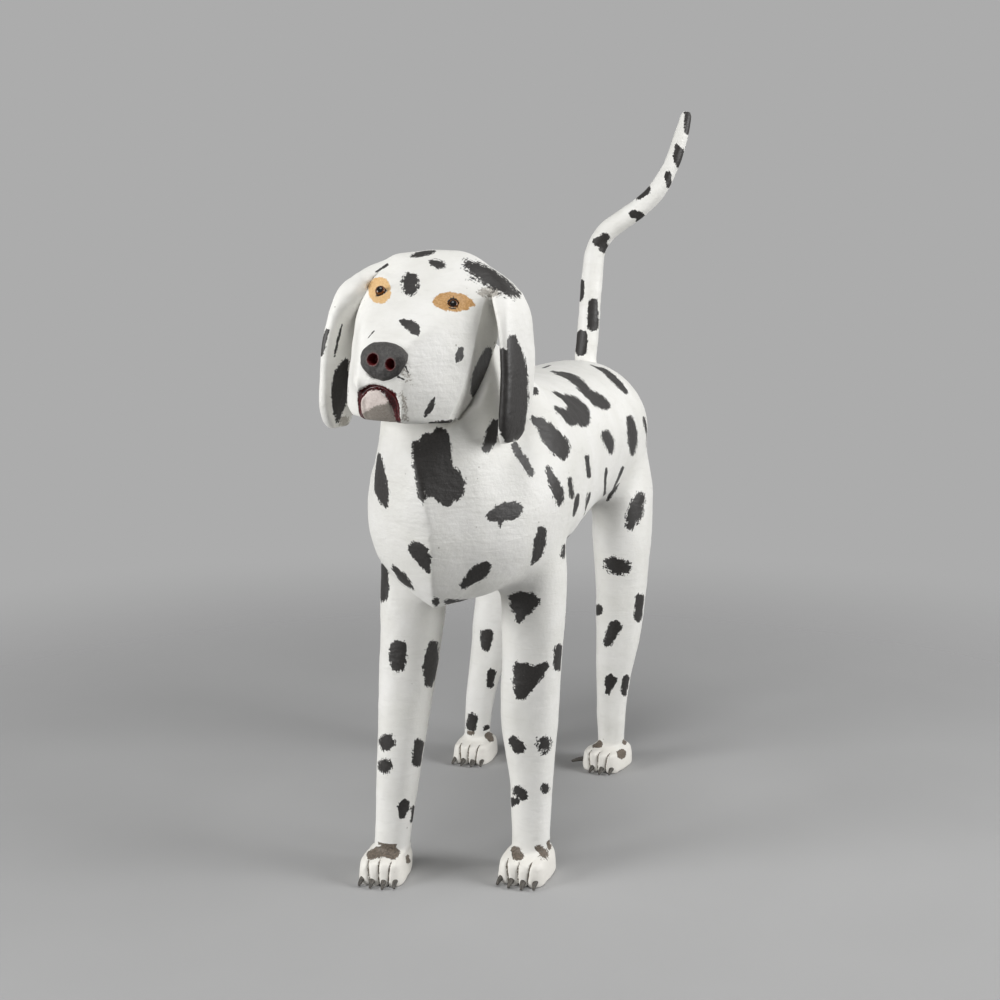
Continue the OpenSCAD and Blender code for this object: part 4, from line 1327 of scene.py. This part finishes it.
# %% Claws, dowels and nails
# Whittled hardwood stained nearly black and worn to grey-brown along the grain, and pale beech with
# short darker flecks: name, length of the grain's marks along x, y and z in mm, where on the pattern
# the light colour starts and where it is full, both colours, roughness, strength of the relief
WOODS = (("stained_hardwood", (1.6, 9, 2.2), 0.38, 0.68, "#35332F", "#625D56", 0.55, 0.4),
         ("beech_dowel", (2, 2, 18), 0, 1, "#C79F6E", "#E0C298", 0.6, 0.0))
woods = []
for name, marks, start, full, dark, light, rough, strength in WOODS:
    material, tree, shader = new_finish(name)
    place = put(tree, "ShaderNodeTexCoord").outputs["Object"]
    drawn_out = put(tree, "ShaderNodeMapping", {
        "Vector": place, "Scale": [per_mm(mark) for mark in marks]}).outputs[0]
    grain = put(tree, "ShaderNodeTexNoise", {"Scale": 1, "Detail": 3, "Vector": drawn_out}).outputs["Fac"]
    wood = coated(tree, paint(dark), [(grain, start, full, 1, light)])
    relief = put(tree, "ShaderNodeBump", {
        "Height": grain, "Strength": strength, "Distance": 0.4 * MM}).outputs[0]
    feed(tree, shader, {"Base Color": wood, "Roughness": rough, "Normal": relief})
    woods.append(material)
claw_stain, beech = woods

# Wire nail: drawn steel gone dull, with patches of brown rust.
steel, tree, shader = new_finish("wire_nail_steel")
place = put(tree, "ShaderNodeTexCoord").outputs["Object"]
bloom = put(tree, "ShaderNodeTexNoise", {"Vector": place, "Scale": per_mm(2.5), "Detail": 3}).outputs["Fac"]
metal = coated(tree, paint("#8C8B88"), [(bloom, 0.52, 0.62, 1, "#6E4A33")])
feed(tree, shader, {"Base Color": metal, "Metallic": 1.0, "Roughness": 0.5})
print("finishes:", len(bpy.data.materials))

# %% [markdown]
# ## Pieces
# Every piece becomes one object in metres at the origin. Its points carry their directions from the
# whole skin, so light runs over the line between two pieces without a step, as the paint does.

# %% Make the pieces
def number_on(mesh, name, values):
    """Stores a number, or three, on each point of a mesh."""
    values = np.asarray(values, np.float32)
    kind, field = ("FLOAT", "value") if values.ndim == 1 else ("FLOAT_VECTOR", "vector")
    mesh.attributes.new(name, kind, "POINT").data.foreach_set(field, values.ravel())


def piece_object(name, piece, material, numbers):
    mesh = plain_mesh(name, piece["points"], piece["tris"])
    mesh.shade_smooth()
    mesh.normals_split_custom_set_from_vertices([tuple(n) for n in piece["normals"]])
    for key, values in numbers.items():
        number_on(mesh, key, values)
    mesh.materials.append(material)
    return into_scene(name, mesh)


def fields_for(piece, group):
    dab, brush = paint_field(piece["points"], piece["normals"], laid[group])
    return {"dab": dab, "brush": brush}


shown = {}
for name in body_names:
    piece = pieces[name]
    shown[name] = piece_object(name + "_carving", piece, body_paint, fields_for(piece, "body"))
shown["tail"] = piece_object("tail_branch", pieces["tail"], body_paint, fields_for(pieces["tail"], "tail"))
print("painted:", ", ".join(o.name for o in shown.values()))

# %% Head and ears
others = {key: lay(strokes, "head")
          for key, strokes in (("worn_and_shade", WORN_AND_SHADE), ("ochre", OCHRE), ("tan", TAN), ("red", STRAY_RED))}
for name in ("head", "left_ear", "right_ear"):
    piece = pieces[name]
    numbers = fields_for(piece, "head")
    for key, strokes in others.items():
        numbers[key] = paint_field(piece["points"], piece["normals"], strokes)[0]
    side, front, up = in_head(piece["points"])
    line, thick = to_mouth_line(side, up)
    muzzle = 20 * (1 - eased((front - 56) / 6))         # keeps the next three paints on the muzzle's face
    numbers["red"] = np.minimum(numbers["red"], (np.abs(line) - thick - 0.6) / 0.8 + muzzle)
    numbers["pale"] = (line + thick) / 1.0 + muzzle
    # painted shade: the chin's underside, where it turns down, is painted a darker grey
    numbers["shade"] = (up + 112 - 0.42 * side) / 1.5 + 3 * np.maximum(0, line + 2) + muzzle
    if name != "head":
        for key in ("red", "pale", "shade"):
            numbers[key] = np.full(len(piece["points"]), NO_PAINT)
    shown[name] = piece_object(name + "_carving", piece, head_paint, numbers)
    print(name, "carries", ", ".join(numbers))

# %% Nose and eyes
shown["nose"] = piece_object("nose_carving", pieces["nose"], nose_paint, {"pit": from_nostril})
for name in EYES:
    shown[name] = piece_object(name + "_glass", pieces[name], glass, {"ring": eye_ring[name]})
print("pieces so far:", len(shown))

# %% Paws
for which in FEET:
    piece = pieces[which + "_paw"]
    dab, brush = paint_field(piece["points"], piece["normals"], lay(PAW_DABS[which], which))
    cut, _ = toe_cut(which, piece["points"])
    shown[which + "_paw"] = piece_object(which + "_paw_carving", piece, paw_paint, {
        "dab": dab, "brush": brush, "groove": 2.6 - 4.4 * cut})
print("pieces:", len(shown))

# %% [markdown]
# ## Claws
# Four whittled pegs stand out of every paw, all to one pattern. That is work for Geometry Nodes: a
# tree bends a short curve, gives it a taper, and sets one on each point of a small mesh that holds
# the roots. The roots carry the way each claw points and how long it is.

# %% Claw tree
CLAW = {"Length": 14, "Root Radius": 4.3, "Tip Radius": 1.5, "Curl": 3.4, "Tang": 9}       # mm
claw_tree = bpy.data.node_groups.new("whittled_claw", "GeometryNodeTree")
sockets = claw_tree.interface
sockets.new_socket("Geometry", in_out="INPUT", socket_type="NodeSocketGeometry")
for label, size in CLAW.items():
    sockets.new_socket(label, in_out="INPUT", socket_type="NodeSocketFloat").default_value = size * MM
sockets.new_socket("Finish", in_out="INPUT", socket_type="NodeSocketMaterial")
sockets.new_socket("Geometry", in_out="OUTPUT", socket_type="NodeSocketGeometry")
given = put(claw_tree, "NodeGroupInput").outputs
back, half_way, lift, drop = [
    put(claw_tree, "ShaderNodeMath", {0: given[label], 1: share}, operation="MULTIPLY").outputs[0]
    for label, share in (("Tang", -1.0), ("Length", 0.5), ("Curl", 0.45), ("Curl", -1.0))]
start = put(claw_tree, "ShaderNodeCombineXYZ", {2: back}).outputs[0]
middle = put(claw_tree, "ShaderNodeCombineXYZ", {1: lift, 2: half_way}).outputs[0]
end = put(claw_tree, "ShaderNodeCombineXYZ", {1: drop, 2: given["Length"]}).outputs[0]
bend = put(claw_tree, "GeometryNodeCurveQuadraticBezier", {
    "Resolution": 14, "Start": start, "Middle": middle, "End": end}).outputs[0]
share = put(claw_tree, "GeometryNodeSplineParameter").outputs["Factor"]
slim = put(claw_tree, "ShaderNodeMath", {0: share, 1: 1.7}, operation="POWER").outputs[0]
radius = put(claw_tree, "ShaderNodeMapRange", {"Value": slim, "To Min": given["Root Radius"],
                                               "To Max": given["Tip Radius"]}).outputs[0]
profile = put(claw_tree, "GeometryNodeCurvePrimitiveCircle", {"Resolution": 16, "Radius": 1.0}).outputs[0]
sweep = put(claw_tree, "GeometryNodeCurveToMesh", {
    "Curve": bend, "Profile Curve": profile, "Scale": radius, "Fill Caps": True}).outputs[0]
aim, size = [put(claw_tree, "GeometryNodeInputNamedAttribute", {"Name": name},
                 data_type="FLOAT_VECTOR").outputs[0] for name in ("aim", "size")]
turned = put(claw_tree, "FunctionNodeEulerToRotation", {0: aim}).outputs[0]
pegs = put(claw_tree, "GeometryNodeInstanceOnPoints", {
    "Points": given["Geometry"], "Instance": sweep, "Rotation": turned, "Scale": size}).outputs[0]
real = put(claw_tree, "GeometryNodeRealizeInstances", {0: pegs}).outputs[0]
smooth = put(claw_tree, "GeometryNodeSetShadeSmooth", {0: real}).outputs[0]
done = put(claw_tree, "GeometryNodeSetMaterial", {
    "Geometry": smooth, "Material": given["Finish"]}).outputs[0]
put(claw_tree, "NodeGroupOutput", {0: done})
print("claw tree:", len(claw_tree.nodes), "nodes")

# %% Set the claws in the toes
# root in the paw, turn to the dog's left and droop in degrees, length against a full one
CLAWS = [[-22, -37, 8, -10, 8, 0.95], [-7.5, -41, 7.5, -4, 10, 0.85], [7.5, -41, 7.5, 4, 10, 0.85],
         [22, -37, 8, 8, 8, 0.9]]
SIDE_CLAW = [-28, -26, 12, -62, 2, 1.5]                 # the rear left paw's first claw sticks out sideways


def claws_for(which):
    width, shift, turn = FEET[which][4], FEET[which][5], FEET[which][3]
    rows = [SIDE_CLAW if which == "rear_left" and i == 0 else c for i, c in enumerate(CLAWS)]
    roots = on_paw(which, [(c[0] * width + shift, c[1], c[2]) for c in rows])
    mesh = plain_mesh(which + "_claws", roots, [])
    aims = [(Matrix.Rotation(math.radians(turn + c[3]), 3, "Z")
             @ Matrix.Rotation(math.radians(90 + c[4]), 3, "X")).to_euler() for c in rows]
    number_on(mesh, "aim", [tuple(a) for a in aims])
    number_on(mesh, "size", [(1, 1, c[5]) for c in rows])
    roots_object = into_scene(which + "_roots", mesh)
    modifier = roots_object.modifiers.new("claws", "NODES")
    modifier.node_group = claw_tree
    keys = {s.name: s.identifier for s in sockets.items_tree if s.in_out == "INPUT"}
    for label, size in CLAW.items():
        modifier[keys[label]] = size * MM
    modifier[keys["Finish"]] = claw_stain
    made = evaluated_mesh(roots_object)
    bpy.data.objects.remove(roots_object)
    for i in reversed(range(len(made.materials))):          # drops the empty slot of the bare sweep
        if made.materials[i] is None:
            made.materials.pop(index=i)
    return into_scene(which + "_claws", made)


claw_sets = {which: claws_for(which) for which in FEET}
print({w: (len(o.data.polygons), [m.name for m in o.data.materials]) for w, o in claw_sets.items()})

# %% [markdown]
# ## Hanging it all on the frame
# Each piece rides on the one body of the dog, and the solid it stands for is hidden. The dowels and nails
# inside stay as they are and only get a finish.

# %% Ride and replace
for name, piece in shown.items():
    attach(piece, "root")
    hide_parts(name)
for which, claws in claw_sets.items():
    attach(claws, "root")
    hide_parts(*[f"{which}_claw_{i}" for i in (1, 2, 3, 4)])
for name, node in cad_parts.items():
    if name.endswith("dowel") or name.endswith("nails"):
        node.data.materials.clear()
        node.data.materials.append(steel if name.endswith("nails") else beech)
print("riding:", len(shown) + len(claw_sets))

# %% [markdown]
# ## Floor, light and background
# A plain studio: a pale grey floor that fades into a background of the same grey, a broad soft lamp
# on each side of the dog, a weaker one high in front, a small one high on the right, and a little
# light from all round.

# %% Floor
BACKDROP = "#ACACAC"
FLOOR_RADIUS, FADE_FROM, FADE_TO = 4.0, 0.3, 2.0        # metres
bm = bmesh.new()
bmesh.ops.create_circle(bm, cap_ends=True, segments=96, radius=FLOOR_RADIUS)
floor_mesh = bpy.data.meshes.new("floor")
bm.to_mesh(floor_mesh)
bm.free()
floor = into_scene("floor", floor_mesh)
floor_paint, tree, shader = new_finish("studio_floor")
place = put(tree, "ShaderNodeTexCoord").outputs["Object"]
dust = put(tree, "ShaderNodeTexNoise", {"Vector": place, "Scale": per_mm(300), "Detail": 2}).outputs["Fac"]
tint = coated(tree, paint("#ABABAB"), [(dust, 0, 1, 1, "#B3B3B3")])
feed(tree, shader, {"Base Color": tint, "Roughness": 0.9, "Specular IOR Level": 0.1})
reach = put(tree, "ShaderNodeVectorMath", {0: place}, operation="LENGTH").outputs["Value"]
fade = put(tree, "ShaderNodeMapRange", {"Value": reach, "From Min": FADE_FROM, "From Max": FADE_TO},
           interpolation_type="SMOOTHSTEP").outputs[0]
clear = put(tree, "ShaderNodeBsdfTransparent").outputs[0]
blend = put(tree, "ShaderNodeMixShader", {0: fade, 1: shader.outputs[0], 2: clear}).outputs[0]
tree.links.new(blend, tree.nodes["Material Output"].inputs[0])
floor.data.materials.append(floor_paint)
print("floor:", floor.dimensions[:])

# %% Background
world = bpy.data.worlds.new("studio")
bpy.context.scene.world = world
world.use_nodes = True
tree = world.node_tree
AROUND = 0.02                       # light from all round
around_light = tree.nodes["Background"]
feed(tree, around_light, {"Color": (1, 1, 1, 1), "Strength": AROUND})
paths = put(tree, "ShaderNodeLightPath").outputs
seen = paths["Is Camera Ray"]
for kind in ("Is Glossy Ray", "Is Transmission Ray"):
    seen = put(tree, "ShaderNodeMath", {0: seen, 1: paths[kind]}, operation="MAXIMUM").outputs[0]
plain = put(tree, "ShaderNodeBackground", {"Color": paint(BACKDROP), "Strength": 1.0}).outputs[0]
mix = put(tree, "ShaderNodeMixShader", {0: seen, 1: around_light.outputs[0], 2: plain}).outputs[0]
tree.links.new(mix, tree.nodes["World Output"].inputs[0])
print("background:", BACKDROP, "and light from all round:", AROUND)

# %% Lamps
# turn to the right of the camera's side and climb over the dog's middle, degrees, and power in watts
LAMPS = {"key": (-65, 9, 52), "right": (75, 15, 52), "high": (-14, 66, 33), "far_right": (100, 42, 9)}
LAMP_AWAY, LAMP_SIZE, LIT = 2.6, 1.4, Vector((0, -0.05, 0.45))
for name, (turn, climb, power) in LAMPS.items():
    lamp = bpy.data.lights.new(name, "AREA")
    lamp.shape, lamp.size, lamp.energy = "DISK", LAMP_SIZE, power
    lamp_object = into_scene(name, lamp)
    ray = Matrix.Rotation(CAMERA_TURN + math.radians(turn), 3, "Z") @ (
        Matrix.Rotation(-math.radians(climb), 3, "X") @ Vector((0, -1, 0)))
    lamp_object.location = LIT + ray * LAMP_AWAY
    lamp_object.rotation_euler = ray.to_track_quat("Z", "Y").to_euler()
    print(name, [round(v, 2) for v in lamp_object.location])
bpy.context.scene.view_settings.view_transform = "Standard"
